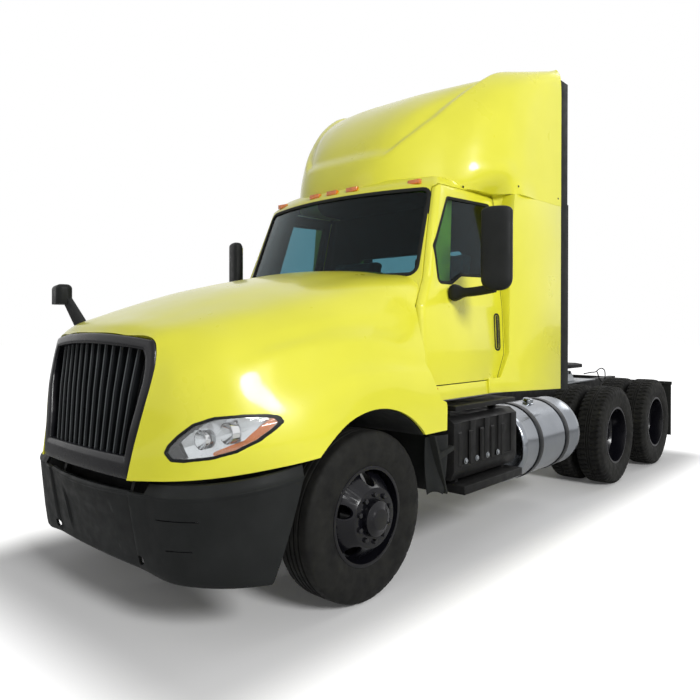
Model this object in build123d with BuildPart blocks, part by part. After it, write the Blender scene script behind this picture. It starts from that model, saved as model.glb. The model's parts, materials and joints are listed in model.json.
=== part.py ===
"""Semi truck tractor unit: bonneted day cab, one steered axle and two driven axles.

Millimetres.  +Z up, the nose of the truck towards -Y, the driver's left side towards +X.
The origin is on the ground at the middle of the length and width.
A "station" is a distance behind the front axle, and y_at(station) gives its Y.
"""

import os
from math import cos, radians, sin, sqrt

from build123d import *

os.makedirs("parts", exist_ok=True)

# ---------------------------------------------------------------- driving dimensions
front_overhang = 1240.0        # front axle to the nose of the bumper
wheelbase = 3980.0             # front axle to the first driven axle
tandem_spacing = 1320.0        # first to second driven axle
rear_overhang = 720.0          # second driven axle to the tail
body_half_width = 1200.0       # bumper, wheel arches and side extenders

tyre_radius = 515.0
tyre_width = 280.0
tread_half_width = 118.0
bead_step = 26.0               # the rim is this much narrower than the tyre on each side
bead_radius = 288.0
rim_flange_radius = 300.0
rim_wall = 9.0
disc_thickness = 13.0
disc_face_radius = 172.0
hand_holes = 5
hand_hole_radius = 40.0
hand_hole_circle = 226.0
spindle_radius = 40.0
axle_tube_radius = 62.0
hub_clearance = 1.0
steer_tyre_x = 1018.0          # centre of a front tyre
dual_spacing = 335.0           # between the centres of twin tyres
dual_outer_x = 1064.0          # centre of an outer twin tyre

frame_rail_half_width = 430.0  # to the outside of a rail
frame_rail_height = 270.0
frame_rail_top = 1000.0
frame_flange = 90.0
frame_web = 10.0

kingpin_x = 905.0
kingpin_radius = 24.0
steering_arm_reach = 190.0     # from the kingpins back to the tie rod

cab_floor_z = 1145.0
cab_wall = 55.0                # wall, pillar and door thickness
cab_roof_z = 2800.0
cab_back_station = 1880.0
cab_corner_radius = 60.0
panel_gap = 7.0                # shut line between a door and the cab
door_edge_slant = 0.20         # a door's edges run this much forward for each unit inward
glass_thickness = 6.0
glass_inset = 8.0              # glass lies this far inside the outer skin

hood_wall = 22.0
hood_gap = 14.0                # between the hood and the cab
hood_pivot_station = -1130.0
hood_pivot_z = 700.0
hinge_x = 412.0                # centre of each hood hinge
hinge_eye_width = 30.0
hinge_pin_radius = 10.0
wheel_arch_radius = 648.0
wheel_arch_station = 20.0

bumper_wall = 24.0
bumper_bottom_z = 325.0
bumper_ridge_z = 765.0         # at the nose; ridge and top rise rearward with the tilt
bumper_tilt = 8.6              # degrees
bumper_top_rise = 52.0         # from the ridge to the top edge
bumper_centre_top = 778.0

fairing_wall = 22.0
extender_bottom_z = 1110.0
extender_back_station = 2556.0
seal_depth = 165.0

tank_radius = 325.0
tank_x = 872.0
tank_z = 660.0
tank_front_station = 1880.0
tank_length = 1120.0

fifth_wheel_station = 4560.0
fifth_wheel_half_width = 457.0
fifth_wheel_top_z = 1215.0
kingpin_throat_radius = 26.0   # throat that takes a 50.8 mm trailer pin

overall_length = front_overhang + wheelbase + tandem_spacing + rear_overhang
front_axle_y = front_overhang - overall_length / 2
tail_station = overall_length - front_overhang
drive_stations = (wheelbase, wheelbase + tandem_spacing)
dual_inner_x = dual_outer_x - dual_spacing
dual_middle_x = (dual_outer_x + dual_inner_x) / 2
rail_bottom = frame_rail_top - frame_rail_height


def y_at(station):
    """Y of a station behind the front axle."""
    return front_axle_y + station


def finish(part, name):
    """Label a finished piece and write it to its own file."""
    part.label = name
    export_step(part, f"parts/{name}.step")


# ---------------------------------------------------------------- wheels
def wheel_plane(station):
    """Upright plane through a wheel's axis: local x runs along the axle, local y up."""
    return Plane(origin=(0, y_at(station), tyre_radius), x_dir=(1, 0, 0), z_dir=(0, -1, 0))


def wheel_axis(station):
    return Axis((0, y_at(station), tyre_radius), (1, 0, 0))


def tyre_ring(station, centres):
    """Tyres round one axis, each at its own distance along the axle."""
    half = tyre_width / 2
    half_profile = [               # from the bead out to the tread
        (half - bead_step, bead_radius),
        (half - bead_step, rim_flange_radius),
        (half, bead_radius + 95),
        (half - 6, tyre_radius - 52),
        (tread_half_width, tyre_radius - 9),
        (tread_half_width - 22, tyre_radius),
    ]
    with BuildPart() as ring:
        with BuildSketch(wheel_plane(station)):
            for centre in centres:
                edge = [(centre + x, r) for x, r in half_profile]
                far_edge = [(centre - x, r) for x, r in reversed(half_profile)]
                with BuildLine():
                    Polyline(*edge, *far_edge, close=True)
                make_face()
        revolve(axis=wheel_axis(station))
    return ring.part


def rim_set(station, discs, hub_profile, bore_radius):
    """Wheel discs and their hub, turned as one.

    Each disc row is (tyre centre, x of the mounting face, direction the face looks).
    """
    seat_half = tyre_width / 2 - bead_step
    with BuildPart() as rims:
        with BuildSketch(wheel_plane(station)):
            for centre, face, way in discs:
                with BuildLine():
                    Polyline(
                        (centre - seat_half - 8, bead_radius - rim_wall),
                        (centre - seat_half - 8, rim_flange_radius),
                        (centre - seat_half, rim_flange_radius),
                        (centre - seat_half, bead_radius),
                        (centre + seat_half, bead_radius),
                        (centre + seat_half, rim_flange_radius),
                        (centre + seat_half + 8, rim_flange_radius),
                        (centre + seat_half + 8, bead_radius - rim_wall),
                        close=True,
                    )
                make_face()
                with BuildLine():
                    Polyline(
                        (centre + way * 30, bead_radius - rim_wall + 1),
                        (centre + way * 48, bead_radius - rim_wall + 1),
                        (face + way * disc_thickness, disc_face_radius + 6),
                        (face + way * disc_thickness, bore_radius + 20),
                        (face, bore_radius + 20),
                        (face, disc_face_radius),
                        close=True,
                    )
                make_face()
            with BuildLine():
                Polyline(*hub_profile, close=True)
            make_face()
        revolve(axis=wheel_axis(station))
        reach = [centre for centre, _, _ in discs]
        middle = (min(reach) + max(reach)) / 2
        hole_plane = Plane(origin=(middle, y_at(station), tyre_radius), z_dir=(1, 0, 0))
        with BuildSketch(hole_plane):
            with PolarLocations(hand_hole_circle, hand_holes):
                Circle(hand_hole_radius)
        extrude(amount=500, both=True, mode=Mode.SUBTRACT)
    return rims.part


steer_face_x = steer_tyre_x + dual_spacing / 2 - disc_thickness
steer_hub_inner_x = 1000.0
steer_hub_cap_x = 1238.0
drive_hub_cap_x = 1085.0

steer_hub = [
    (steer_hub_inner_x, spindle_radius + hub_clearance),
    (steer_hub_inner_x, 105),
    (steer_face_x - 22, 105),
    (steer_face_x - 22, 168),
    (steer_face_x, 168),
    (steer_face_x, 108),
    (steer_face_x + 45, 104),
    (steer_hub_cap_x - 12, 78),
    (steer_hub_cap_x, 60),
    (steer_hub_cap_x, 0),
    (steer_hub_cap_x - 28, 0),
    (steer_hub_cap_x - 28, spindle_radius + hub_clearance),
]
drive_hub = [
    (dual_inner_x - 60, axle_tube_radius + hub_clearance),
    (dual_inner_x - 60, 100),
    (dual_middle_x - disc_thickness - 20, 104),
    (dual_middle_x - disc_thickness - 20, 168),
    (dual_middle_x - disc_thickness, 168),
    (dual_middle_x - disc_thickness, 104),
    (drive_hub_cap_x - 40, 98),
    (drive_hub_cap_x - 40, 84),
    (drive_hub_cap_x, 70),
    (drive_hub_cap_x, 0),
    (drive_hub_cap_x - 24, 0),
    (drive_hub_cap_x - 24, axle_tube_radius + hub_clearance),
]

steer_tyre = tyre_ring(0, [steer_tyre_x])
steer_rim = rim_set(0, [(steer_tyre_x, steer_face_x, 1)], steer_hub, 88)
for side, flip in (("left", False), ("right", True)):
    finish(mirror(steer_tyre, about=Plane.YZ) if flip else steer_tyre, f"tyre_front_{side}")
    finish(mirror(steer_rim, about=Plane.YZ) if flip else steer_rim, f"rim_front_{side}")

# the two mounting faces meet back to back, so each disc is set back by its own thickness
dual_discs = [
    (dual_outer_x, dual_middle_x + disc_thickness, -1),
    (dual_inner_x, dual_middle_x - disc_thickness, 1),
]
for number, station in enumerate(drive_stations, 1):
    twin_tyres = tyre_ring(station, [dual_outer_x, dual_inner_x])
    twin_rims = rim_set(station, dual_discs, drive_hub, 84)
    for side, flip in (("left", False), ("right", True)):
        finish(
            mirror(twin_tyres, about=Plane.YZ) if flip else twin_tyres,
            f"tyres_drive_{number}_{side}",
        )
        finish(
            mirror(twin_rims, about=Plane.YZ) if flip else twin_rims,
            f"rims_drive_{number}_{side}",
        )

# ---------------------------------------------------------------- steering and front axle
ear_inner = 70.0               # half the gap between a knuckle's two ears
ear_thickness = 38.0
pin_clearance = 0.5
boss_radius = 48.0
knuckle_face = 62.0            # from the kingpin out to the knuckle's round flange
knuckle_flange = 20.0
ear_reach = knuckle_face + knuckle_flange / 2
spindle_end_gap = 34.0         # from the hub cap's outer face in to the spindle's end
beam_width = 95.0
spring_x = 392.0
spring_half_width = 38.0
spring_half_length = 700.0
spring_thickness = 56.0
tie_rod_x = kingpin_x          # equal arms keep the rod parallel to the axle
tie_rod_radius = 18.0
tie_rod_z = 414.0

with BuildPart() as knuckle_left:
    with BuildSketch(Plane.XY.offset(tyre_radius - ear_inner - ear_thickness)):
        with Locations((kingpin_x, y_at(0))):
            Circle(boss_radius)
        with Locations((kingpin_x + ear_reach / 2, y_at(0))):
            Rectangle(ear_reach, 2 * boss_radius)
    extrude(amount=ear_thickness)
    with BuildSketch(Plane.XY.offset(tyre_radius + ear_inner)):
        with Locations((kingpin_x, y_at(0))):
            Circle(boss_radius)
        with Locations((kingpin_x + ear_reach / 2, y_at(0))):
            Rectangle(ear_reach, 2 * boss_radius)
    extrude(amount=ear_thickness)
    with Locations((kingpin_x, y_at(0), tyre_radius)):
        Cylinder(kingpin_radius, 2 * (ear_inner + ear_thickness))
    with Locations((kingpin_x + knuckle_face + knuckle_flange / 2, y_at(0), tyre_radius)):
        Cylinder(ear_inner + ear_thickness, knuckle_flange, rotation=(0, 90, 0))
    with Locations((kingpin_x + knuckle_face, y_at(0), tyre_radius)):
        Cylinder(
            spindle_radius,
            steer_hub_cap_x - spindle_end_gap - kingpin_x - knuckle_face,
            rotation=(0, 90, 0),
            align=(Align.CENTER, Align.CENTER, Align.MIN),
        )
    with BuildSketch(Plane.XY.offset(tyre_radius - ear_inner - ear_thickness)):
        with BuildLine():
            Polyline(
                (kingpin_x - 30, y_at(20)),
                (tie_rod_x - 26, y_at(steering_arm_reach)),
                (tie_rod_x + 26, y_at(steering_arm_reach)),
                (kingpin_x + 30, y_at(20)),
                close=True,
            )
        make_face()
        with Locations((tie_rod_x, y_at(steering_arm_reach))):
            Circle(26)
    extrude(amount=ear_thickness * 0.7)
    with BuildSketch(Plane.XY.offset(tyre_radius - ear_inner - ear_thickness)):
        with Locations((tie_rod_x, y_at(steering_arm_reach))):
            Circle(9 + pin_clearance)
    extrude(amount=ear_thickness, mode=Mode.SUBTRACT)
finish(knuckle_left.part, "knuckle_left")
finish(mirror(knuckle_left.part, about=Plane.YZ), "knuckle_right")

arm_bottom = tyre_radius - ear_inner - ear_thickness
with BuildPart() as tie_rod:
    with Locations((0, y_at(steering_arm_reach), arm_bottom - 28)):
        Cylinder(tie_rod_radius, 2 * tie_rod_x - 40, rotation=(0, 90, 0))
    for x in (-tie_rod_x, tie_rod_x):
        with Locations((x, y_at(steering_arm_reach), arm_bottom - 28)):
            Cylinder(26, 46)
        with Locations((x, y_at(steering_arm_reach), arm_bottom - 6)):
            Cylinder(9, 38, align=(Align.CENTER, Align.CENTER, Align.MIN))
finish(tie_rod.part, "tie_rod")

beam_low = tyre_radius - 140
with BuildPart() as front_axle:
    with BuildSketch(Plane.XZ.offset(-y_at(0) - beam_width / 2)):
        with BuildLine():
            Polyline(
                (-kingpin_x, tyre_radius - 40),
                (-kingpin_x, tyre_radius + 45),
                (-kingpin_x + 130, tyre_radius + 30),
                (-590, beam_low + 95),
                (590, beam_low + 95),
                (kingpin_x - 130, tyre_radius + 30),
                (kingpin_x, tyre_radius + 45),
                (kingpin_x, tyre_radius - 40),
                (kingpin_x - 150, tyre_radius - 55),
                (560, beam_low),
                (-560, beam_low),
                (-kingpin_x + 150, tyre_radius - 55),
                close=True,
            )
        make_face()
    extrude(amount=beam_width)
    for x in (-kingpin_x, kingpin_x):
        with Locations((x, y_at(0), tyre_radius)):
            Cylinder(boss_radius + 4, 2 * (ear_inner - 4))
    for x in (-kingpin_x, kingpin_x):
        with Locations((x, y_at(0), tyre_radius)):
            Cylinder(kingpin_radius + pin_clearance, 4 * ear_inner, mode=Mode.SUBTRACT)
    for x in (-spring_x, spring_x):
        with BuildSketch(Plane.YZ.offset(x - spring_half_width)):
            with BuildLine():
                low = ThreePointArc(
                    (y_at(-spring_half_length), rail_bottom - 75),
                    (y_at(0), beam_low + 95),
                    (y_at(spring_half_length), rail_bottom - 75),
                )
                high = ThreePointArc(
                    (y_at(-spring_half_length), rail_bottom - 75 + 28),
                    (y_at(0), beam_low + 95 + spring_thickness),
                    (y_at(spring_half_length), rail_bottom - 75 + 28),
                )
                Line(low @ 0, high @ 0)
                Line(low @ 1, high @ 1)
            make_face()
        extrude(amount=2 * spring_half_width)
        with Locations((x, y_at(0), beam_low + 88)):
            Box(
                2 * spring_half_width + 24, 150, spring_thickness + 26,
                align=(Align.CENTER, Align.CENTER, Align.MIN),
            )
        for station in (-spring_half_length, spring_half_length):
            with Locations((x, y_at(station), rail_bottom - 90)):
                Box(
                    2 * spring_half_width, 90, 90,
                    align=(Align.CENTER, Align.CENTER, Align.MIN),
                )
finish(front_axle.part, "front_axle")

# ---------------------------------------------------------------- frame
rail_front_station = -1085.0
rail_back_station = tail_station
crossmember_stations = (-1040, 1430, 2450, 3300, 4640, 5975)
cab_mount_stations = (700, 1720)

with BuildPart() as frame_rails:
    for way in (-1, 1):
        with BuildSketch(Plane.XZ.offset(-y_at(rail_back_station))):
            with BuildLine():
                outer = way * frame_rail_half_width
                web = way * (frame_rail_half_width - frame_web)
                lip = way * (frame_rail_half_width - frame_flange)
                Polyline(
                    (outer, rail_bottom),
                    (outer, frame_rail_top),
                    (lip, frame_rail_top),
                    (lip, frame_rail_top - frame_web),
                    (web, frame_rail_top - frame_web),
                    (web, rail_bottom + frame_web),
                    (lip, rail_bottom + frame_web),
                    (lip, rail_bottom),
                    close=True,
                )
            make_face()
        extrude(amount=rail_back_station - rail_front_station)
    for station in crossmember_stations:
        with Locations((0, y_at(station), frame_rail_top - frame_web)):
            Box(
                2 * (frame_rail_half_width - frame_web), 90,
                frame_rail_height - 2 * frame_web,
                align=(Align.CENTER, Align.CENTER, Align.MAX),
            )
    for station in cab_mount_stations:
        for x in (-385, 385):
            with Locations((x, y_at(station), frame_rail_top)):
                Box(
                    90, 90, cab_floor_z - frame_rail_top,
                    align=(Align.CENTER, Align.CENTER, Align.MIN),
                )
    for way in (-1, 1):
        with BuildSketch(Plane.YZ.offset(way * hinge_x - hinge_eye_width / 2)):
            with BuildLine():
                Polyline(
                    (y_at(rail_front_station), rail_bottom + 5),
                    (y_at(rail_front_station), frame_rail_top - 100),
                    (y_at(hood_pivot_station), hood_pivot_z + 22),
                    (y_at(hood_pivot_station), hood_pivot_z - 22),
                    close=True,
                )
            make_face()
            with Locations((y_at(hood_pivot_station), hood_pivot_z)):
                Circle(22)
            with Locations((y_at(hood_pivot_station), hood_pivot_z)):
                Circle(hinge_pin_radius + pin_clearance, mode=Mode.SUBTRACT)
        extrude(amount=hinge_eye_width)
finish(frame_rails.part, "frame_rails")

# ---------------------------------------------------------------- cab
# height, half width at the back, half width at the front,
# station of the front corners, station of the middle of the front, station of the back
cab_levels = [
    (cab_floor_z, 1120, 1120, 578, 572, cab_back_station),
    (1805, 1085, 1078, 612, 580, cab_back_station),
    (2010, 1063, 1035, 768, 600, cab_back_station),
    (2716, 962, 935, 1012, 822, cab_back_station),
    (cab_roof_z, 895, 870, 1085, 905, cab_back_station - 40),
]
windscreen_bottom = (2030, 935)   # height and half width of the opening
windscreen_top = (2690, 885)
rear_window = (1560, 2330, 620)   # bottom, top, half width
door_outline = [                  # station and height at the outer skin
    (562, 1430), (602, 1805), (775, 2040), (1010, 2700), (1040, 2722),
    (1770, 2735), (1700, 2050), (1690, 1443), (1566, 1252), (716, 1252),
]
window_outline = [
    (868, 1975), (868, 2240), (1106, 2632), (1700, 2655), (1630, 2060), (1160, 2045), (1020, 1975),
]


def cab_row(z):
    """Cab plan at a height, read off the table in straight lines."""
    for low, high in zip(cab_levels, cab_levels[1:]):
        if z <= high[0]:
            break
    share = (z - low[0]) / (high[0] - low[0])
    return [a + (b - a) * share for a, b in zip(low, high)]


def cab_block(inset, bottom=cab_floor_z, top=cab_roof_z):
    """The cab's outer shape, its walls set in by the inset."""
    heights = [bottom] + [row[0] for row in cab_levels if bottom < row[0] < top] + [top]
    with BuildPart() as block:
        for z in heights:
            _, back_half, front_half, corner, middle, back = cab_row(z)
            with BuildSketch(Plane.XY.offset(z)) as level:
                with BuildLine():
                    a = (back_half - inset, y_at(back - inset))
                    b = (front_half - inset, y_at(corner + inset))
                    c = (inset - front_half, y_at(corner + inset))
                    d = (inset - back_half, y_at(back - inset))
                    Line(a, b)
                    ThreePointArc(b, (0, y_at(middle + inset)), c)
                    Line(c, d)
                    Line(d, a)
                make_face()
                fillet(level.vertices(), cab_corner_radius - inset * 0.5)
        loft(ruled=True)
    return block.part


def upright_prism(outline, x_from, x_to, slant=0.0, skin_x=1120.0):
    """A side outline carried across the truck from one x to another.

    With a slant the outline holds at skin_x and moves forward inward of it.
    """
    shift = slant * (skin_x - x_from)
    with BuildPart() as prism:
        with BuildSketch(Plane.YZ.offset(x_from)) as side:
            with BuildLine():
                Polyline(*[(y_at(s) - shift, z) for s, z in outline], close=True)
            make_face()
            fillet(side.vertices(), 28)
        reach = x_to - x_from
        extrude(amount=sqrt(reach**2 + (slant * reach) ** 2), dir=(reach, slant * reach, 0))
    return prism.part


def on_skin(outline, slant, skin_x=1120.0):
    """Correct a side outline for the cab's lean, so that it lies true on the leaning skin."""
    return [(s + slant * (skin_x - cab_row(z)[1]), z) for s, z in outline]


def grown(outline, gap):
    """The outline set out by the gap all round."""
    with BuildSketch(Plane.YZ) as sketch:
        with BuildLine():
            Polyline(*outline, close=True)
        make_face()
        offset(amount=gap, kind=Kind.INTERSECTION)
    corners = sketch.face().outer_wire().order_edges()
    return [((edge @ 0).X, (edge @ 0).Y) for edge in corners]


def front_prism(points, station_from, station_to, radius):
    """A front outline carried along the truck."""
    with BuildPart() as prism:
        with BuildSketch(Plane.XZ.offset(-y_at(station_from))) as face:
            with BuildLine():
                Polyline(*points, close=True)
            make_face()
            fillet(face.vertices(), radius)
        extrude(amount=-(station_to - station_from))
    return prism.part


def side_core(inset):
    """Everything further inside the truck than the inset from the cab's side skins."""
    with BuildPart() as core:
        for z in (row[0] for row in cab_levels):
            _, back_half, front_half, corner, _, back = cab_row(z)
            with BuildSketch(Plane.XY.offset(z)):
                with BuildLine():
                    Polyline(
                        (back_half - inset, y_at(back + 100)),
                        (front_half - inset, y_at(corner)),
                        (front_half - inset, y_at(corner - 500)),
                        (inset - front_half, y_at(corner - 500)),
                        (inset - front_half, y_at(corner)),
                        (inset - back_half, y_at(back + 100)),
                        close=True,
                    )
                make_face()
        loft(ruled=True)
    return core.part


cab_outer = cab_block(0)
cab_inner = cab_block(cab_wall, cab_floor_z + cab_wall, cab_roof_z - cab_wall)
glass_outer = cab_block(glass_inset)
glass_inner = cab_block(glass_inset + glass_thickness)
windscreen_points = [
    (-windscreen_bottom[1], windscreen_bottom[0]), (windscreen_bottom[1], windscreen_bottom[0]),
    (windscreen_top[1], windscreen_top[0]), (-windscreen_top[1], windscreen_top[0]),
]
rear_window_points = [
    (-rear_window[2], rear_window[0]), (rear_window[2], rear_window[0]),
    (rear_window[2], rear_window[1]), (-rear_window[2], rear_window[1]),
]
windscreen_prism = front_prism(windscreen_points, 400, 1300, 60)
rear_window_prism = front_prism(rear_window_points, cab_back_station - 150, cab_back_station + 50, 60)
door_line = on_skin(door_outline, door_edge_slant)
cab_core = side_core(cab_wall)
with BuildPart() as door_slab:
    add(upright_prism(door_line, 700, 1300, door_edge_slant))
    add(side_core(cab_wall - panel_gap), mode=Mode.SUBTRACT)
with BuildPart() as door_way:
    add(upright_prism(grown(door_line, panel_gap), 700, 1300, door_edge_slant))
    add(cab_core, mode=Mode.SUBTRACT)
window_prism = upright_prism(window_outline, 700, 1300)

with BuildPart() as cab_shell:
    add(cab_outer)
    add(cab_inner, mode=Mode.SUBTRACT)
    add(windscreen_prism, mode=Mode.SUBTRACT)
    add(rear_window_prism, mode=Mode.SUBTRACT)
    add(door_way.part, mode=Mode.SUBTRACT)
    add(mirror(door_way.part, about=Plane.YZ), mode=Mode.SUBTRACT)
finish(cab_shell.part, "cab_shell")

with BuildPart() as cab_glass:
    add(glass_outer)
    add(glass_inner, mode=Mode.SUBTRACT)
    add(windscreen_prism, mode=Mode.INTERSECT)
with BuildPart() as rear_glass:
    add(glass_outer)
    add(glass_inner, mode=Mode.SUBTRACT)
    add(rear_window_prism, mode=Mode.INTERSECT)
finish(Compound([cab_glass.part.solid(), rear_glass.part.solid()]), "cab_glass")

with BuildPart() as door_panel:
    add(cab_outer)
    add(cab_inner, mode=Mode.SUBTRACT)
    add(door_slab.part, mode=Mode.INTERSECT)
    add(window_prism, mode=Mode.SUBTRACT)
with BuildPart() as door_glass:
    add(glass_outer)
    add(glass_inner, mode=Mode.SUBTRACT)
    add(window_prism, mode=Mode.INTERSECT)
finish(door_panel.part, "door_left")
finish(mirror(door_panel.part, about=Plane.YZ), "door_right")
finish(door_glass.part, "door_glass_left")
finish(mirror(door_glass.part, about=Plane.YZ), "door_glass_right")

# ---------------------------------------------------------------- door mirrors
mirror_head_x = 1450.0
mirror_head_station = 972.0
mirror_head_bottom = 1905.0
mirror_head_height = 580.0
mirror_head_width = 215.0
mirror_head_depth = 92.0
mirror_toe = 20.0              # degrees, the outer edge rearward
mirror_arm_z = 1868.0
mirror_arm_height = 78.0
mirror_root_station = 745.0
mirror_root_x = 1040.0

with BuildPart() as door_mirror:
    head_plane = Plane(
        origin=(mirror_head_x, y_at(mirror_head_station), mirror_head_bottom),
        x_dir=(cos(radians(mirror_toe)), sin(radians(mirror_toe)), 0),
        z_dir=(0, 0, 1),
    )
    with BuildSketch(head_plane) as head_plan:
        Rectangle(mirror_head_width, mirror_head_depth)
        fillet(head_plan.vertices(), 34)
    extrude(amount=mirror_head_height)
    fillet(door_mirror.edges().group_by(Axis.Z)[-1], 26)
    with BuildSketch(Plane.XY.offset(mirror_arm_z)):
        with BuildLine():
            Polyline(
                (mirror_root_x, y_at(mirror_root_station - 45)),
                (mirror_root_x + 80, y_at(mirror_root_station - 30)),
                (mirror_head_x + 30, y_at(mirror_head_station - 20)),
                (mirror_head_x + 30, y_at(mirror_head_station + 35)),
                (mirror_root_x + 60, y_at(mirror_root_station + 42)),
                (mirror_root_x, y_at(mirror_root_station + 45)),
                close=True,
            )
        make_face()
    extrude(amount=mirror_arm_height)
    add(cab_outer, mode=Mode.SUBTRACT)
finish(door_mirror.part, "door_mirror_left")
finish(mirror(door_mirror.part, about=Plane.YZ), "door_mirror_right")

# ---------------------------------------------------------------- roof fairing
fairing_foot_z = 2742.0
fairing_back_half = 1196.0
# height, station of the middle of the front, (x, station) of the front's corner,
# (x, station) of the side's corner, half width at the back
fairing_levels = [
    (fairing_foot_z, 880, (560, 1000), (1080, 1500), fairing_back_half),
    (3040, 925, (560, 1040), (1085, 1530), fairing_back_half),
    (3240, 1010, (560, 1115), (1085, 1580), fairing_back_half),
    (3430, 1150, (600, 1240), (1085, 1670), fairing_back_half),
    (3640, 1410, (700, 1510), (1095, 1830), fairing_back_half),
    (3820, 1800, (850, 1860), (1130, 2090), fairing_back_half - 2),
    (3985, 2500, (1020, 2512), (1105, 2535), 1165),
]


def fairing_block(inset):
    """The roof fairing's outer shape set in by the inset, a set-in one run out at foot and back."""
    back = y_at(extender_back_station + (60 if inset else 0))
    with BuildPart() as block:
        for z, middle, corner, knee, back_half in fairing_levels:
            drop = 100 if inset and z == fairing_foot_z else inset
            with BuildSketch(Plane.XY.offset(z - drop)):
                with BuildLine():
                    c = (corner[0] - inset * 0.5, y_at(corner[1] + inset))
                    k = (knee[0] - inset, y_at(knee[1] + inset * 0.5))
                    ThreePointArc((-c[0], c[1]), (0, y_at(middle + inset)), c)
                    Polyline(
                        c, k, (back_half - inset, back), (inset - back_half, back),
                        (-k[0], k[1]), (-c[0], c[1]),
                    )
                make_face()
        loft(ruled=True)
    return block.part


with BuildPart() as roof_fairing:
    add(fairing_block(0))
    add(fairing_block(fairing_wall), mode=Mode.SUBTRACT)
    add(cab_outer, mode=Mode.SUBTRACT)
finish(roof_fairing.part, "roof_fairing")

# ---------------------------------------------------------------- side extenders and gap seals
# (station, z) of the front edge, a finger's width behind the door's rear edge
extender_front = [(1783, 2735), (1712, 2050), (1708, 1448), (1586, 1260), (1420, 1260), (1420, 1150)]
extender_skin = 1196.0
extender_wall = 26.0
seal_width = 22.0

with BuildPart() as extender_left:
    with BuildSketch(Plane.YZ.offset(1000)):
        with BuildLine():
            Polyline(
                *[(y_at(s), z) for s, z in extender_front],
                (y_at(extender_back_station), extender_bottom_z),
                (y_at(extender_back_station), fairing_foot_z),
                (y_at(1792), fairing_foot_z),
                close=True,
            )
        make_face()
    extrude(amount=300)
    with BuildSketch(Plane.XY.offset(extender_bottom_z - 10)):
        with BuildLine():
            Polyline(
                (1090, y_at(1400)),
                (1128, y_at(1400)),
                (extender_skin, y_at(extender_back_station)),
                (extender_skin - extender_wall, y_at(extender_back_station)),
                (1112, y_at(cab_back_station - 20)),
                (1000, y_at(cab_back_station - 20)),
                (1000, y_at(1400)),
                close=True,
            )
        make_face()
    extrude(amount=1800, mode=Mode.INTERSECT)
    add(cab_outer, mode=Mode.SUBTRACT)
side_extenders = [extender_left.part.solids().sort_by(SortBy.VOLUME)[-1]]
side_extenders.append(mirror(side_extenders[0], about=Plane.YZ))
finish(Compound(side_extenders), "side_extenders")

seal_x = extender_skin - extender_wall / 2
seal_low = extender_bottom_z - 15
seal_joint_z = fairing_foot_z + 40
seal_top_z = 3880.0
upper_seal_depth = seal_depth - 20

with BuildPart() as seals:
    for way in (-1, 1):
        with Locations((way * seal_x, y_at(extender_back_station), seal_low)):
            Box(
                seal_width, seal_depth, seal_joint_z - seal_low,
                align=(Align.CENTER, Align.MIN, Align.MIN),
            )
        with Locations((way * seal_x, y_at(extender_back_station), seal_joint_z)):
            Box(
                seal_width, upper_seal_depth, seal_top_z - seal_joint_z,
                align=(Align.CENTER, Align.MIN, Align.MIN),
            )
finish(seals.part, "gap_seals")

# ---------------------------------------------------------------- bumper
bumper_bulge = 6.0             # the rounded corners swell this far past the flat sides
# height, tilt, half width lost, station where the side starts to turn in,
# (x, station) of the corner, (x, station) of the front, station of the middle
bumper_rows = [
    (bumper_bottom_z, 0, 0, -560, (1060, -880), (620, -1105), -1130),
    (bumper_ridge_z, bumper_tilt, 0, -560, (1075, -905), (620, -1158), -front_overhang),
    (bumper_ridge_z + bumper_top_rise, bumper_tilt, 30, -560, (1045, -875), (600, -1118), -1195),
]
bumper_skirt = [(745, bumper_bottom_z - 1), (470, 345), (-470, 345), (-745, bumper_bottom_z - 1)]
bumper_back_outline = [
    (-745, 200), (-745, bumper_bottom_z), (-552, 940), (-552, 1200), (2000, 1200), (2000, 200),
]


def bumper_block(inset):
    """The bumper's outer shape set in by the inset, a set-in one run out above and below."""
    with BuildPart() as block:
        for number, (z, lean, narrower, side, corner, front, middle) in enumerate(bumper_rows):
            height = z + inset * (number - 1)
            tilt = radians(lean)
            plane = Plane(
                origin=(0, y_at(-front_overhang), height),
                x_dir=(1, 0, 0),
                z_dir=(0, -sin(tilt), cos(tilt)),
            )
            half = body_half_width - bumper_bulge - inset - narrower
            with BuildSketch(plane):
                with BuildLine():
                    def spot(x, station):
                        return (x, (station + front_overhang + inset) / cos(tilt))

                    back = 900
                    front_x = front[0]
                    Line(spot(half, back), spot(half, side))
                    ThreePointArc(
                        spot(half, side),
                        spot(corner[0] - inset, corner[1]),
                        spot(front_x, front[1]),
                    )
                    ThreePointArc(spot(front_x, front[1]), spot(0, middle), spot(-front_x, front[1]))
                    ThreePointArc(
                        spot(-front_x, front[1]),
                        spot(inset - corner[0], corner[1]),
                        spot(-half, side),
                    )
                    Line(spot(-half, side), spot(-half, back))
                    Line(spot(-half, back), spot(half, back))
                make_face()
        loft(ruled=True)
    return block.part


with BuildPart() as bumper:
    add(bumper_block(0))
    add(bumper_block(bumper_wall), mode=Mode.SUBTRACT)
    with BuildSketch(Plane.YZ.offset(-1300)):
        with BuildLine():
            Polyline(*[(y_at(station), z) for station, z in bumper_back_outline], close=True)
        make_face()
    extrude(amount=2600, mode=Mode.SUBTRACT)
    with BuildSketch(Plane.XZ.offset(-y_at(-1400))):
        with BuildLine():
            Polyline(*bumper_skirt, close=True)
        make_face()
    extrude(amount=-420, mode=Mode.SUBTRACT)
    with Locations((0, y_at(-front_overhang - 50), bumper_centre_top)):
        Box(1210, 400, 200, align=(Align.CENTER, Align.MIN, Align.MIN), mode=Mode.SUBTRACT)
finish(bumper.part, "bumper")

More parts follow.
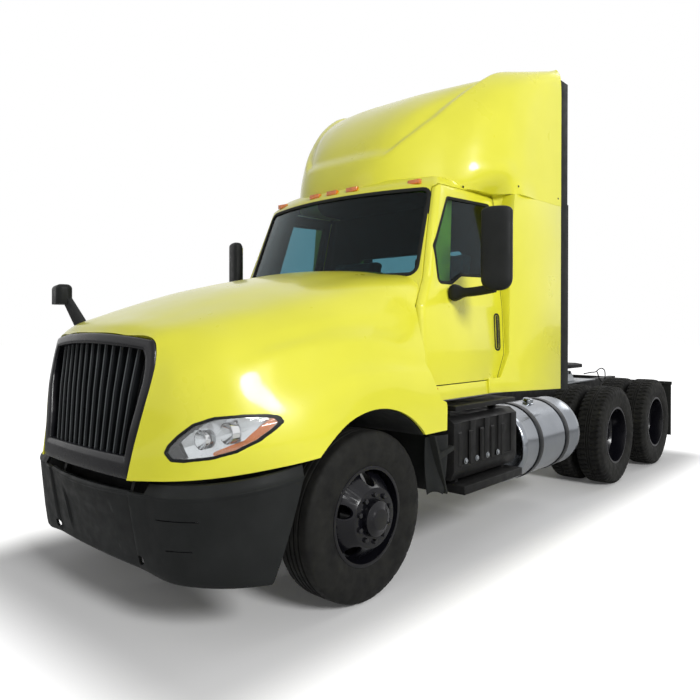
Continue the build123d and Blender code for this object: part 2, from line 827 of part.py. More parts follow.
# ---------------------------------------------------------------- hood
# station, half width at the side, height where the side starts to lean in,
# (x, z) half way up, (x, z) of the shoulder, height of the middle
hood_rows = [
    (-1300, 900, 980, (790, 1290), (520, 1530), 1580),
    (-1080, 985, 1020, (862, 1360), (572, 1600), 1668),
    (-800, 1105, 1080, (985, 1420), (700, 1690), 1780),
    (-200, 1196, 1190, (1100, 1520), (850, 1800), 1950),
    (300, 1200, 1190, (1132, 1560), (930, 1900), 2050),
    (800, 1200, 1150, (1105, 1570), (965, 1990), 2120),
]
# height, station of the middle, (x, station) where the corner starts,
# (x, station) half way round, station where the side starts
nose_rows = [
    (800, -1224, (535, -1200), (950, -958), -470),
    (1290, -1188, (545, -1143), (985, -947), -418),
    (2200, -1096, (545, -986), (985, -814), -310),
]
hood_bottom_z = 849.0
surround_bottom_z = 843.0
hood_skirt_z = 945.0


def hood_block(inset):
    """The hood's outer shape: cross sections along the truck, trimmed by the nose's plan."""
    with BuildPart() as body:
        for station, side, break_z, mid, shoulder, top in hood_rows:
            with BuildSketch(Plane.XZ.offset(-y_at(station))):
                with BuildLine():
                    foot = 800 - (200 if inset else 0)
                    a = (side - inset, foot)
                    b = (side - inset, break_z)
                    c = (mid[0] - inset, mid[1] - inset * 0.4)
                    d = (shoulder[0] - inset * 0.5, shoulder[1] - inset)
                    Line(a, b)
                    ThreePointArc(b, c, d)
                    ThreePointArc(d, (0, top - inset), (-d[0], d[1]))
                    ThreePointArc((-d[0], d[1]), (-c[0], c[1]), (-b[0], b[1]))
                    Line((-b[0], b[1]), (-a[0], a[1]))
                    Line((-a[0], a[1]), a)
                make_face()
        loft(ruled=True)
    with BuildPart() as nose:
        for z, middle, corner, mid, side in nose_rows:
            with BuildSketch(Plane.XY.offset(z)):
                with BuildLine():
                    half = body_half_width + 5 - inset
                    a = (half, y_at(1000))
                    b = (half, y_at(side + inset))
                    c = (mid[0] - inset * 0.7, y_at(mid[1] + inset * 0.7))
                    d = (corner[0], y_at(corner[1] + inset))
                    Line(a, b)
                    ThreePointArc(b, c, d)
                    ThreePointArc(d, (0, y_at(middle + inset)), (-d[0], d[1]))
                    ThreePointArc((-d[0], d[1]), (-c[0], c[1]), (-b[0], b[1]))
                    Line((-b[0], b[1]), (-a[0], a[1]))
                    Line((-a[0], a[1]), a)
                make_face()
        loft(ruled=True)
    with BuildPart() as block:
        add(body.part)
        add(nose.part, mode=Mode.INTERSECT)
    return block.part


surround_outline = [
    (600, 1578), (523, surround_bottom_z), (-523, surround_bottom_z), (-600, 1578),
]
surround_top = 1612.0
opening_outline = [(540, 1522), (472, 962), (-472, 962), (-540, 1522)]
opening_top = 1546.0
opening_bottom = opening_outline[1][1]
grille_bar_count = 13
grille_pitch_top = 81.0
grille_pitch_bottom = 71.0
grille_bar_width = 30.0
grille_bar_depth = 42.0
lamp_outline = [
    (715, 1002), (754, 961), (812, 959), (929, 976), (1011, 1007), (1070, 1059), (1115, 1153),
    (1096, 1184), (1014, 1197), (920, 1187), (839, 1152), (773, 1092),
]
lamp_depth = 85.0


def crowned_prism(corners, top, grow=0.0):
    """The grille's front outline, its upper edge an arc, carried through the nose."""
    (xt, zt), (xb, zb) = corners[0], corners[1]
    with BuildPart() as prism:
        with BuildSketch(Plane.XZ.offset(-y_at(-1500))) as face:
            with BuildLine():
                Line((xb + grow, zb - grow), (xt + grow, zt + grow))
                ThreePointArc((xt + grow, zt + grow), (0, top + grow), (-xt - grow, zt + grow))
                Line((-xt - grow, zt + grow), (-xb - grow, zb - grow))
                Line((-xb - grow, zb - grow), (xb + grow, zb - grow))
            make_face()
            fillet(face.vertices(), 26)
        extrude(amount=-700)
    return prism.part


hood_outer = hood_block(0)
hood_inner = hood_block(hood_wall)
lamp_fillet = 14
lamp_prism = front_prism(lamp_outline, -1400, -500, lamp_fillet)
with BuildPart() as wheel_arch:
    for way in (-1, 1):
        with Locations((way * 900, y_at(wheel_arch_station), tyre_radius)):
            Cylinder(wheel_arch_radius, 800, rotation=(0, 90, 0))
with BuildPart() as hood_trim:                 # what the slanting lower edge takes off
    with BuildSketch(Plane.YZ.offset(-1400)):
        with BuildLine():
            Polyline(
                (y_at(-1400), 700), (y_at(-1400), hood_bottom_z), (y_at(-1200), hood_bottom_z),
                (y_at(-470), hood_skirt_z), (y_at(900), hood_skirt_z + 8), (y_at(900), 700),
                close=True,
            )
        make_face()
    extrude(amount=2800)
    with BuildSketch(Plane.YZ.offset(-1400)):
        with BuildLine():
            Polyline(
                (y_at(547), 1428), (y_at(678), 1166), (y_at(745), 1150), (y_at(745), 700),
                (y_at(1200), 700), (y_at(1200), 2300), (y_at(790), 2300), (y_at(790), 2050),
                (y_at(590), 1805),
                close=True,
            )
        make_face()
    extrude(amount=2800)

with BuildPart() as hood_shell:
    add(hood_outer)
    add(hood_inner, mode=Mode.SUBTRACT)
    add(crowned_prism(surround_outline, surround_top, 1), mode=Mode.SUBTRACT)
    add(wheel_arch.part, mode=Mode.SUBTRACT)
    add(hood_trim.part, mode=Mode.SUBTRACT)
    add(lamp_prism, mode=Mode.SUBTRACT)
    add(mirror(lamp_prism, about=Plane.YZ), mode=Mode.SUBTRACT)
    add(cab_block(-hood_gap, 700, cab_roof_z), mode=Mode.SUBTRACT)
finish(hood_shell.part, "hood_shell")

liner_inner_x = 520.0
liner_outer_x = body_half_width - hood_wall - 3
liner_wall = 10.0
with BuildPart() as liner_left:
    with BuildSketch(Plane.YZ.offset(liner_inner_x)):
        with Locations((y_at(wheel_arch_station), tyre_radius)):
            Circle(wheel_arch_radius)
            Circle(wheel_arch_radius - liner_wall, mode=Mode.SUBTRACT)
    extrude(amount=liner_outer_x - liner_inner_x)
    with BuildSketch(Plane.YZ.offset(liner_inner_x)):
        with Locations((y_at(wheel_arch_station), tyre_radius)):
            Circle(wheel_arch_radius)
    extrude(amount=liner_wall)
    with Locations((0, y_at(wheel_arch_station), hood_skirt_z)):
        Box(3000, 2000, 2000, align=(Align.CENTER, Align.CENTER, Align.MAX), mode=Mode.SUBTRACT)
    add(hood_inner, mode=Mode.INTERSECT)
liners = [liner_left.part, mirror(liner_left.part, about=Plane.YZ)]
finish(Compound([liner.solids().sort_by(SortBy.VOLUME)[-1] for liner in liners]), "fender_liners")

surround_depth = 60.0
surround_proud = 12.0
# (rearward, upward) from the pivot, kept behind the bumper's edge as the hood tilts
hinge_arm = [
    (-22, 0), (-8, 14), (85, 75), (85, 190), (-45, 190), (-45, 235), (125, 235), (125, 60), (14, -17),
]
with BuildPart() as grille_surround:
    add(hood_block(-surround_proud))
    add(hood_block(surround_depth), mode=Mode.SUBTRACT)
    add(crowned_prism(surround_outline, surround_top), mode=Mode.INTERSECT)
    add(crowned_prism(opening_outline, opening_top), mode=Mode.SUBTRACT)
    for way in (-1, 1):
        with BuildSketch(Plane.YZ.offset(way * (hinge_x + hinge_eye_width / 2 + 20) - 10)):
            with BuildLine():
                Polyline(
                    *[
                        (y_at(hood_pivot_station + back), hood_pivot_z + up)
                        for back, up in hinge_arm
                    ],
                    close=True,
                )
            make_face()
            with Locations((y_at(hood_pivot_station), hood_pivot_z)):
                Circle(22)
        extrude(amount=20)
        with Locations((way * (hinge_x + 7), y_at(hood_pivot_station), hood_pivot_z)):
            Cylinder(hinge_pin_radius, hinge_eye_width + 30, rotation=(0, 90, 0))
finish(grille_surround.part, "grille_surround")

with BuildPart() as grille_bars:
    with BuildSketch(Plane.XZ.offset(-y_at(-1500))):
        for place in range(grille_bar_count):
            number = place - (grille_bar_count - 1) / 2
            top_x, bottom_x = number * grille_pitch_top, number * grille_pitch_bottom
            half = grille_bar_width / 2
            with BuildLine():
                Polyline(
                    (bottom_x - half, opening_bottom - 30), (bottom_x + half, opening_bottom - 30),
                    (top_x + half, opening_top + 30), (top_x - half, opening_top + 30),
                    close=True,
                )
            make_face()
        for z in (1090, 1250, 1410):
            with Locations((0, z)):
                Rectangle(1100, 16)
    extrude(amount=-700)
    add(hood_block(18), mode=Mode.INTERSECT)
    add(hood_block(18 + grille_bar_depth), mode=Mode.SUBTRACT)
    add(crowned_prism(opening_outline, opening_top), mode=Mode.INTERSECT)
finish(grille_bars.part, "grille_bars")

with BuildPart() as lamp_left:
    add(hood_block(3))
    add(hood_block(lamp_depth), mode=Mode.SUBTRACT)
    add(lamp_prism, mode=Mode.INTERSECT)
lamp_solid = lamp_left.part.solid()
finish(Compound([lamp_solid, mirror(lamp_solid, about=Plane.YZ)]), "headlamps")

hood_mirror_toe = -15.0
hood_mirror_across = (cos(radians(hood_mirror_toe)), sin(radians(hood_mirror_toe)), 0)
with BuildPart() as hood_mirror:
    with BuildSketch(
        Plane(origin=(-1050, y_at(-868), 1815), x_dir=hood_mirror_across, z_dir=(0, 0, 1))
    ) as bowl:
        Rectangle(255, 110)
        fillet(bowl.vertices(), 45)
    extrude(amount=140)
    fillet(hood_mirror.edges().group_by(Axis.Z)[-1], 34)
    with BuildSketch(Plane.XZ.offset(-y_at(-850))):
        with BuildLine():
            Polyline(
                (-700, 1600), (-700, 1690), (-930, 1860), (-990, 1860), (-990, 1830), (-790, 1640),
                close=True,
            )
        make_face()
    extrude(amount=36)
    add(hood_outer, mode=Mode.SUBTRACT)
finish(hood_mirror.part, "hood_mirror")

# ---------------------------------------------------------------- engine and radiator
engine_half_width = 310.0
engine_front_station = -760.0
engine_length = 1310.0
engine_bottom_z = 640.0
engine_top_z = 1540.0
gearbox_length = 760.0
radiator_half_width = 430.0
radiator_station = -960.0
radiator_top_z = 1480.0

with BuildPart() as engine_block:
    with Locations((0, y_at(engine_front_station), engine_bottom_z)):
        Box(
            2 * engine_half_width, engine_length, engine_top_z - engine_bottom_z,
            align=(Align.CENTER, Align.MIN, Align.MIN),
        )
    with Locations((0, y_at(engine_front_station + engine_length), engine_bottom_z + 60)):
        Box(420, gearbox_length, 400, align=(Align.CENTER, Align.MIN, Align.MIN))
    for station in (engine_front_station + 200, engine_front_station + engine_length - 150):
        with Locations((0, y_at(station), rail_bottom + 60)):
            Box(
                2 * (frame_rail_half_width - frame_web), 100, 90,
                align=(Align.CENTER, Align.CENTER, Align.MIN),
            )
finish(engine_block.part, "engine_block")

with BuildPart() as radiator:
    with Locations((0, y_at(radiator_station), frame_rail_top)):
        Box(
            2 * radiator_half_width, 90, radiator_top_z - frame_rail_top,
            align=(Align.CENTER, Align.CENTER, Align.MIN),
        )
finish(radiator.part, "radiator")

# ---------------------------------------------------------------- cab inside
dash_outline = [(620, 1500), (660, 1960), (760, 1965), (930, 1890), (950, 1700), (800, 1500)]
steering_wheel_x = 480.0
steering_wheel_radius = 215.0
steering_tilt = 28.0
with BuildPart() as dashboard:
    with BuildSketch(Plane.YZ.offset(-1040)):
        with BuildLine():
            Polyline(*[(y_at(s), z) for s, z in dash_outline], close=True)
        make_face()
    extrude(amount=2080)
    add(cab_inner, mode=Mode.INTERSECT)
    column_plane = Plane(
        origin=(steering_wheel_x, y_at(1110), 1850),
        x_dir=(1, 0, 0),
        z_dir=(0, sin(radians(steering_tilt)), cos(radians(steering_tilt))),
    )
    with Locations(column_plane):
        Torus(steering_wheel_radius, 15)
        Box(2 * steering_wheel_radius, 34, 18)
        Cylinder(34, 330, align=(Align.CENTER, Align.CENTER, Align.MAX))
    with Locations((steering_wheel_x, y_at(930), 1660)):
        Box(90, 240, 120, align=(Align.CENTER, Align.CENTER, Align.MAX))
finish(dashboard.part, "dashboard")

seat_x = 490.0
seat_front_station = 1150.0
seat_cushion_z = 1480.0
floor_top = cab_floor_z + cab_wall
with BuildPart() as seat_bases:
    for x in (-seat_x, seat_x):
        with Locations((x, y_at(seat_front_station + 260), floor_top)):
            Box(400, 420, seat_cushion_z - floor_top, align=(Align.CENTER, Align.CENTER, Align.MIN))
finish(seat_bases.part, "seat_bases")

with BuildPart() as seat_cushions:
    for x in (-seat_x, seat_x):
        with BuildSketch(Plane.YZ.offset(x - 260)) as side:
            with BuildLine():
                Polyline(
                    (y_at(seat_front_station), seat_cushion_z),
                    (y_at(seat_front_station), seat_cushion_z + 110),
                    (y_at(seat_front_station + 430), seat_cushion_z + 130),
                    (y_at(seat_front_station + 500), seat_cushion_z + 800),
                    (y_at(seat_front_station + 620), seat_cushion_z + 800),
                    (y_at(seat_front_station + 570), seat_cushion_z),
                    close=True,
                )
            make_face()
            fillet(side.vertices(), 30)
        extrude(amount=520)
finish(seat_cushions.part, "seat_cushions")

# ---------------------------------------------------------------- driven axles and suspension
axle_case_radius = 205.0
arm_x = 385.0
arm_half_width = 36.0
bag_radius = 105.0
bag_station = 400.0
hanger_station = -600.0
with BuildPart() as drive_axles:
    for station in drive_stations:
        with Locations((0, y_at(station), tyre_radius)):
            Cylinder(axle_tube_radius, 2 * (drive_hub_cap_x - 28), rotation=(0, 90, 0))
            Cylinder(axle_tube_radius + 14, 2 * (dual_inner_x - 70), rotation=(0, 90, 0))
            Sphere(axle_case_radius)
        with Locations((0, y_at(station - axle_case_radius), tyre_radius + 20)):
            Cylinder(90, 150, rotation=(90, 0, 0))
        for x in (-arm_x, arm_x):
            with BuildSketch(Plane.YZ.offset(x - arm_half_width)):
                with BuildLine():
                    Polyline(
                        (y_at(station + hanger_station - 50), rail_bottom),
                        (y_at(station + hanger_station - 50), rail_bottom - 110),
                        (y_at(station + hanger_station + 60), rail_bottom - 110),
                        (y_at(station - 90), tyre_radius + 40),
                        (y_at(station + 90), tyre_radius + 40),
                        (y_at(station + bag_station + 80), tyre_radius + 85),
                        (y_at(station + bag_station + 80), tyre_radius + 125),
                        (y_at(station + 90), tyre_radius + 110),
                        (y_at(station + hanger_station + 60), rail_bottom - 40),
                        (y_at(station + hanger_station + 60), rail_bottom),
                        close=True,
                    )
                make_face()
            extrude(amount=2 * arm_half_width)
            with Locations((x, y_at(station + bag_station), tyre_radius + 115)):
                Cylinder(
                    bag_radius, rail_bottom - tyre_radius - 115,
                    align=(Align.CENTER, Align.CENTER, Align.MIN),
                )
    shaft = drive_stations[1] - drive_stations[0] - 2 * axle_case_radius
    with Locations((0, y_at((drive_stations[0] + drive_stations[1]) / 2), tyre_radius + 20)):
        Cylinder(45, shaft + 60, rotation=(90, 0, 0))
finish(drive_axles.part, "drive_axles")

# ---------------------------------------------------------------- steps, tanks, mudflaps
step_front_station = 850.0
step_back_station = 1750.0
step_box_inner_x = 640.0
step_box_outer_x = 1188.0
step_box_bottom_z = 575.0
step_box_top_z = 1020.0
step_tread_top_z = 545.0
step_tread_reach = 1250.0
recess_count = 4

with BuildPart() as step_left:
    with BuildSketch(Plane.XZ.offset(-y_at(step_back_station))):
        with BuildLine():
            Polyline(
                (step_box_inner_x, step_box_bottom_z),
                (step_box_inner_x, step_box_top_z),
                (step_box_outer_x - 60, step_box_top_z),
                (step_box_outer_x, step_box_top_z - 40),
                (step_box_outer_x, step_box_bottom_z + 70),
                (step_box_outer_x - 30, step_box_bottom_z),
                close=True,
            )
        make_face()
    extrude(amount=step_back_station - step_front_station)
    with Locations((step_box_outer_x, y_at((step_front_station + step_back_station) / 2), 830)):
        with GridLocations(1, 200, 1, recess_count):
            Box(30, 130, 300, mode=Mode.SUBTRACT)
    with Locations((step_tread_reach - 260, y_at(step_front_station + 40), step_tread_top_z - 60)):
        Box(260, 840, 60, align=(Align.MIN, Align.MIN, Align.MIN))
    for station in (step_front_station + 120, step_back_station - 120):
        with Locations((step_tread_reach - 240, y_at(station), step_tread_top_z - 10)):
            Box(120, 40, 60, align=(Align.MIN, Align.CENTER, Align.MIN))
        with Locations((frame_rail_half_width, y_at(station), 760)):
            Box(
                step_box_inner_x - frame_rail_half_width, 60, 120,
                align=(Align.MIN, Align.CENTER, Align.MIN),
            )
        with Locations((step_box_outer_x - 190, y_at(station), step_box_top_z)):
            Box(60, 40, 50, align=(Align.MIN, Align.CENTER, Align.MIN))
    with Locations((step_box_outer_x - 230, y_at(step_front_station + 20), step_box_top_z + 45)):
        Box(230, 860, 35, align=(Align.MIN, Align.MIN, Align.MIN))
finish(
    Compound([step_left.part.solid(), mirror(step_left.part.solid(), about=Plane.YZ)]), "step_boxes"
)

strap_width = 70.0
strap_thickness = 7.0
with BuildPart() as tank_left:
    with Locations((tank_x, y_at(tank_front_station), tank_z)):
        Cylinder(
            tank_radius, tank_length, rotation=(-90, 0, 0),
            align=(Align.CENTER, Align.CENTER, Align.MIN),
        )
    fillet(tank_left.edges().filter_by(GeomType.CIRCLE), 28)
    with Locations((tank_x + 60, y_at(tank_front_station + 560), tank_z + tank_radius - 12)):
        Cylinder(55, 70, align=(Align.CENTER, Align.CENTER, Align.MIN))
finish(
    Compound([tank_left.part.solid(), mirror(tank_left.part.solid(), about=Plane.YZ)]), "fuel_tanks"
)

with BuildPart() as straps_left:
    for station in (tank_front_station + 300, tank_front_station + 820):
        with BuildSketch(Plane.XZ.offset(-y_at(station + strap_width / 2))):
            with Locations((tank_x, tank_z)):
                Circle(tank_radius + strap_thickness)
            with BuildLine():
                Polyline(
                    (frame_rail_half_width, frame_rail_top - 40),
                    (frame_rail_half_width, rail_bottom + 10),
                    (frame_rail_half_width + 60, tank_z - 190),
                    (tank_x - 180, tank_z - tank_radius - 30),
                    (tank_x, tank_z - tank_radius - 30),
                    (tank_x, tank_z),
                    (frame_rail_half_width + 130, frame_rail_top - 40),
                    close=True,
                )
            make_face()
            with Locations((tank_x, tank_z)):
                Circle(tank_radius, mode=Mode.SUBTRACT)
        extrude(amount=strap_width)
finish(
    Compound(list(straps_left.part.solids()) + list(mirror(straps_left.part, about=Plane.YZ).solids())),
    "tank_straps",
)

flap_thickness = 12.0
rear_flap_station = drive_stations[1] + 590
with BuildPart() as mudflaps:
    for way in (-1, 1):
        with Locations((way * 890, y_at(rear_flap_station), 280)):
            Box(610, flap_thickness, 660, align=(Align.CENTER, Align.CENTER, Align.MIN))
        with Locations((way * (frame_rail_half_width + 385), y_at(rear_flap_station), 950)):
            Box(770, 40, 40)
        with BuildSketch(Plane.YZ.offset(940 * way - 250)):
            with BuildLine():
                Polyline(
                    (y_at(612), 925), (y_at(758), 510), (y_at(772), 514), (y_at(690), 760),
                    (y_at(step_front_station), 800), (y_at(step_front_station), 830),
                    (y_at(680), 800), (y_at(628), 929),
                    close=True,
                )
            make_face()
        extrude(amount=500)
finish(mudflaps.part, "mudflaps")

# ---------------------------------------------------------------- fifth wheel
base_front_station = 4180.0
base_length = 900.0
base_half_width = 520.0
base_thickness = 16.0
pivot_z = frame_rail_top + 118.0
plate_thickness = 42.0
plate_front = 430.0
plate_back = 480.0
throat_mouth_half = 165.0
ear_x = 345.0
ear_width = 36.0
stand_gap = 3.0
rock_pin_radius = 20.0

with BuildPart() as fifth_wheel_base:
    with Locations((0, y_at(base_front_station), frame_rail_top)):
        Box(
            2 * base_half_width, base_length, base_thickness,
            align=(Align.CENTER, Align.MIN, Align.MIN),
        )
    for way in (-1, 1):
        inner = ear_x + ear_width / 2 + stand_gap
        with BuildSketch(Plane.YZ.offset(way * (inner + 20) - 20)):
            with BuildLine():
                Polyline(
                    (y_at(fifth_wheel_station - 150), frame_rail_top + base_thickness),
                    (y_at(fifth_wheel_station - 34), pivot_z + 20),
                    (y_at(fifth_wheel_station + 34), pivot_z + 20),
                    (y_at(fifth_wheel_station + 150), frame_rail_top + base_thickness),
                    close=True,
                )
            make_face()
            with Locations((y_at(fifth_wheel_station), pivot_z)):
                Circle(rock_pin_radius + pin_clearance, mode=Mode.SUBTRACT)
        extrude(amount=40)
finish(fifth_wheel_base.part, "fifth_wheel_base")

with BuildPart() as fifth_wheel_plate:
    with BuildSketch(Plane.XY.offset(fifth_wheel_top_z - plate_thickness)) as plate:
        with BuildLine():
            Polyline(
                (-fifth_wheel_half_width, y_at(fifth_wheel_station - 250)),
                (-280, y_at(fifth_wheel_station - plate_front)),
                (280, y_at(fifth_wheel_station - plate_front)),
                (fifth_wheel_half_width, y_at(fifth_wheel_station - 250)),
                (fifth_wheel_half_width, y_at(fifth_wheel_station + 260)),
                (throat_mouth_half + 120, y_at(fifth_wheel_station + plate_back)),
                (throat_mouth_half, y_at(fifth_wheel_station + plate_back)),
                (kingpin_throat_radius, y_at(fifth_wheel_station + 90)),
                (kingpin_throat_radius, y_at(fifth_wheel_station)),
                (-kingpin_throat_radius, y_at(fifth_wheel_station)),
                (-kingpin_throat_radius, y_at(fifth_wheel_station + 90)),
                (-throat_mouth_half, y_at(fifth_wheel_station + plate_back)),
                (-throat_mouth_half - 120, y_at(fifth_wheel_station + plate_back)),
                (-fifth_wheel_half_width, y_at(fifth_wheel_station + 260)),
                close=True,
            )
        make_face()
        with Locations((0, y_at(fifth_wheel_station))):
            Circle(kingpin_throat_radius, mode=Mode.SUBTRACT)
    extrude(amount=plate_thickness)
    for way in (-1, 1):
        with Locations((way * ear_x, y_at(fifth_wheel_station), pivot_z)):
            Cylinder(34, ear_width, rotation=(0, 90, 0))
            Box(
                ear_width, 68, fifth_wheel_top_z - plate_thickness - pivot_z + 1,
                align=(Align.CENTER, Align.CENTER, Align.MIN),
            )
            Cylinder(rock_pin_radius, ear_width + 100, rotation=(0, 90, 0))
finish(fifth_wheel_plate.part, "fifth_wheel_plate")

# ---------------------------------------------------------------- marker lamps
roof_lamp_z = 2752.0
with BuildPart() as marker_lamps:
    for x in (-745, -210, 0, 210, 745):
        row = cab_row(roof_lamp_z)
        half, sag = row[2], row[3] - row[4]
        bend = (half**2 + sag**2) / (2 * sag)
        station = row[4] + bend - sqrt(bend**2 - x**2)
        with Locations((x, y_at(station - 8), roof_lamp_z)):
            Box(110, 30, 34)
    for way in (-1, 1):
        with Locations((way * 1122, y_at(702), 1220)):
            Box(20, 66, 34)
    add(cab_outer, mode=Mode.SUBTRACT)
finish(marker_lamps.part, "marker_lamps")
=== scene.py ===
import json
from contextlib import contextmanager
from math import cos, pi, radians, sin

import bmesh
import bpy
import numpy as np
from mathutils import Matrix, Vector
from mathutils.bvhtree import BVHTree


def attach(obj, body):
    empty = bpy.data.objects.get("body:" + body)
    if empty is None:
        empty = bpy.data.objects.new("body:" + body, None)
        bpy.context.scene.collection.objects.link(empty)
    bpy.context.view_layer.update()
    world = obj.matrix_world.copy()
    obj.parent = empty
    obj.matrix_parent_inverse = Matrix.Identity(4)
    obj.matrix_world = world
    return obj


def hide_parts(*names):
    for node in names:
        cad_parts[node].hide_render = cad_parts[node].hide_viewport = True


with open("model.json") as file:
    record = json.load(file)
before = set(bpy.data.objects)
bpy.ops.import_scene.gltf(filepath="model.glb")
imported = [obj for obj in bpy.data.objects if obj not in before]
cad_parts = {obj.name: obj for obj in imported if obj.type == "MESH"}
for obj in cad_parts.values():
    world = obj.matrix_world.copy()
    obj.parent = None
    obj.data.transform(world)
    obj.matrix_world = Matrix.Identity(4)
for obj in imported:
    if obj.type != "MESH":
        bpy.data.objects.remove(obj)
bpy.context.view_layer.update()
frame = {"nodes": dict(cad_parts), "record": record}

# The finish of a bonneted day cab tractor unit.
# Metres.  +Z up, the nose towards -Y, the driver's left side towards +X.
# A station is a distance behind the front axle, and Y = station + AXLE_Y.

AXLE_Y = -2.390
WHEEL_Z = 0.515
SMOOTH = radians(34)           # edges flatter than this are shaded as one surface
SIDES = ((1, "left"), (-1, "right"))

rng = np.random.default_rng(7)


# ---------------------------------------------------------------- mesh helpers
def link(piece):
    """Put an object into the scene."""
    bpy.context.scene.collection.objects.link(piece)
    return piece


def mesh_of(name, points, faces):
    """A mesh object from an array of points and a list of faces."""
    mesh = bpy.data.meshes.new(name)
    mesh.from_pydata(np.reshape(points, (-1, 3)).tolist(), [], [list(map(int, face)) for face in faces])
    mesh.validate()
    mesh.update()
    return link(bpy.data.objects.new(name, mesh))


def grid_faces(rows, columns, round_rows=False, round_columns=False, start=0):
    """Quads of a grid of points; a round direction joins its last line to its first."""
    r = np.arange(rows if round_rows else rows - 1)[:, None]
    c = np.arange(columns if round_columns else columns - 1)[None, :]
    below, right = (r + 1) % rows, (c + 1) % columns
    quads = np.stack(
        [r * columns + c, below * columns + c, below * columns + right, r * columns + right], -1
    )
    return start + quads.reshape(-1, 4)


def normals_of(grid):
    """Unit normals of a grid: the cross product of its two directions of travel."""
    down = np.gradient(grid, axis=0)
    across = np.gradient(grid, axis=1)
    cross = np.cross(down, across)
    return cross / np.maximum(np.linalg.norm(cross, axis=-1, keepdims=True), 1e-12)


def shell(name, outer, wall, out=1.0):
    """A sheet of even thickness: the outer grid, the same grid set in by the wall, and a rim.

    out is -1 for a grid whose normals look into the sheet.
    """
    rows, columns = outer.shape[:2]
    inner = outer - out * wall * normals_of(outer)
    count = rows * columns
    top = grid_faces(rows, columns)
    bottom = grid_faces(rows, columns, start=count)[:, ::-1]
    ring = np.concatenate(
        [
            np.arange(columns),
            np.arange(1, rows) * columns + columns - 1,
            (rows - 1) * columns + np.arange(columns - 2, -1, -1),
            np.arange(rows - 2, 0, -1) * columns,
        ]
    )
    after = np.roll(ring, -1)
    rim = np.stack([ring, after, after + count, ring + count], -1)
    faces = np.concatenate([top, bottom, rim])
    if out < 0:
        faces = faces[:, ::-1]
    return mesh_of(name, np.concatenate([outer.reshape(-1, 3), inner.reshape(-1, 3)]), faces)


def read_table(table, at):
    """Each column of a table at the given places: cubic curves, each slope the mean of its neighbours."""
    table = np.asarray(table, float)
    at = np.asarray(at, float)
    x, y = table[:, 0], table[:, 1:]
    slope = np.gradient(y, x, axis=0)
    i = np.clip(np.searchsorted(x, at) - 1, 0, len(x) - 2)
    step = (x[i + 1] - x[i])[..., None]
    t = np.clip((at - x[i])[..., None] / step, 0, 1)
    return (
        (2 * t**3 - 3 * t**2 + 1) * y[i]
        + (t**3 - 2 * t**2 + t) * step * slope[i]
        + (3 * t**2 - 2 * t**3) * y[i + 1]
        + (t**3 - t**2) * step * slope[i + 1]
    )


def through(points, knots, at):
    """A smooth curve of points, or of rows of points, through given knots."""
    points = np.asarray(points, float)
    flat = points.reshape(len(points), -1)
    out = read_table(np.column_stack([knots, flat]), at)
    return out.reshape(len(at), *points.shape[1:])


def net_surface(net, rows, columns):
    """A smooth sheet over a net of points: curves down the net, then curves across the result.

    The knots are the mean distances between neighbouring lines of the net.
    """
    net = np.asarray(net, float)
    down = np.linalg.norm(np.diff(net, axis=0), axis=-1).mean(1)
    across = np.linalg.norm(np.diff(net, axis=1), axis=-1).mean(0)
    down = np.concatenate([[0], np.cumsum(down)])
    across = np.concatenate([[0], np.cumsum(across)])
    sheet = through(net, down, np.linspace(0, down[-1], rows))
    sheet = through(sheet.swapaxes(0, 1), across, np.linspace(0, across[-1], columns))
    return sheet.swapaxes(0, 1)


def smoothstep(low, high, value):
    """A smooth rise from 0 at low to 1 at high; it falls where low is the larger."""
    t = np.clip((value - low) / (high - low), 0, 1)
    return t * t * (3 - 2 * t)


def rounded(points, radius, steps=6):
    """An outline with each corner replaced by an arc tangent to both its sides."""
    points = np.asarray(points, float)
    out = []
    for before, corner, after in zip(np.roll(points, 1, 0), points, np.roll(points, -1, 0)):
        a, b = before - corner, after - corner
        la, lb = np.linalg.norm(a), np.linalg.norm(b)
        a, b = a / la, b / lb
        half = np.arccos(np.clip(a @ b, -1, 1)) / 2
        if half > pi / 2 - 0.02:
            out.append(corner)
            continue
        reach = min(radius / np.tan(half), 0.48 * la, 0.48 * lb)
        arc = reach * np.tan(half)
        middle = corner + (a + b) / np.linalg.norm(a + b) * arc / np.sin(half)
        first, last = corner + a * reach - middle, corner + b * reach - middle
        sweep = pi - 2 * half
        for t in np.linspace(0, 1, steps + 1):
            spot = (np.sin((1 - t) * sweep) * first + np.sin(t * sweep) * last) / np.sin(sweep)
            out.append(middle + spot)
    return np.array(out)


def prism(name, outline, along, low, high):
    """A closed solid: an outline carried along one axis.

    along "X" takes (station, z) and "Y" takes (x, z).
    """
    outline = np.asarray(outline, float)
    ends = []
    for place in (low, high):
        at = np.full(len(outline), float(place))
        if along == "X":
            ends.append(np.column_stack([at, outline[:, 0] + AXLE_Y, outline[:, 1]]))
        else:
            ends.append(np.column_stack([outline[:, 0], at + AXLE_Y, outline[:, 1]]))
    count = len(outline)
    ring = np.arange(count)
    after = (ring + 1) % count
    sides = np.stack([ring, after, after + count, ring + count], -1)
    return solid(name, np.concatenate(ends), [*sides, ring[::-1], ring + count])


@contextmanager
def opened(mesh):
    """A mesh opened for editing, and written back at the end."""
    work = bmesh.new()
    work.from_mesh(mesh)
    yield work
    work.to_mesh(mesh)
    work.free()


def outward(piece):
    """Turn every face of a closed mesh to look outwards."""
    with opened(piece.data) as work:
        bmesh.ops.recalc_face_normals(work, faces=work.faces)


def weld(piece, distance):
    """Merge the points that lie together, as at the poles of a turned shape."""
    with opened(piece.data) as work:
        bmesh.ops.remove_doubles(work, verts=work.verts, dist=distance)


def solid(name, points, faces, merge=0.0):
    """A closed mesh: coincident points merged within a distance, if given, and faces outward."""
    piece = mesh_of(name, points, faces)
    if merge:
        weld(piece, merge)
    outward(piece)
    return piece


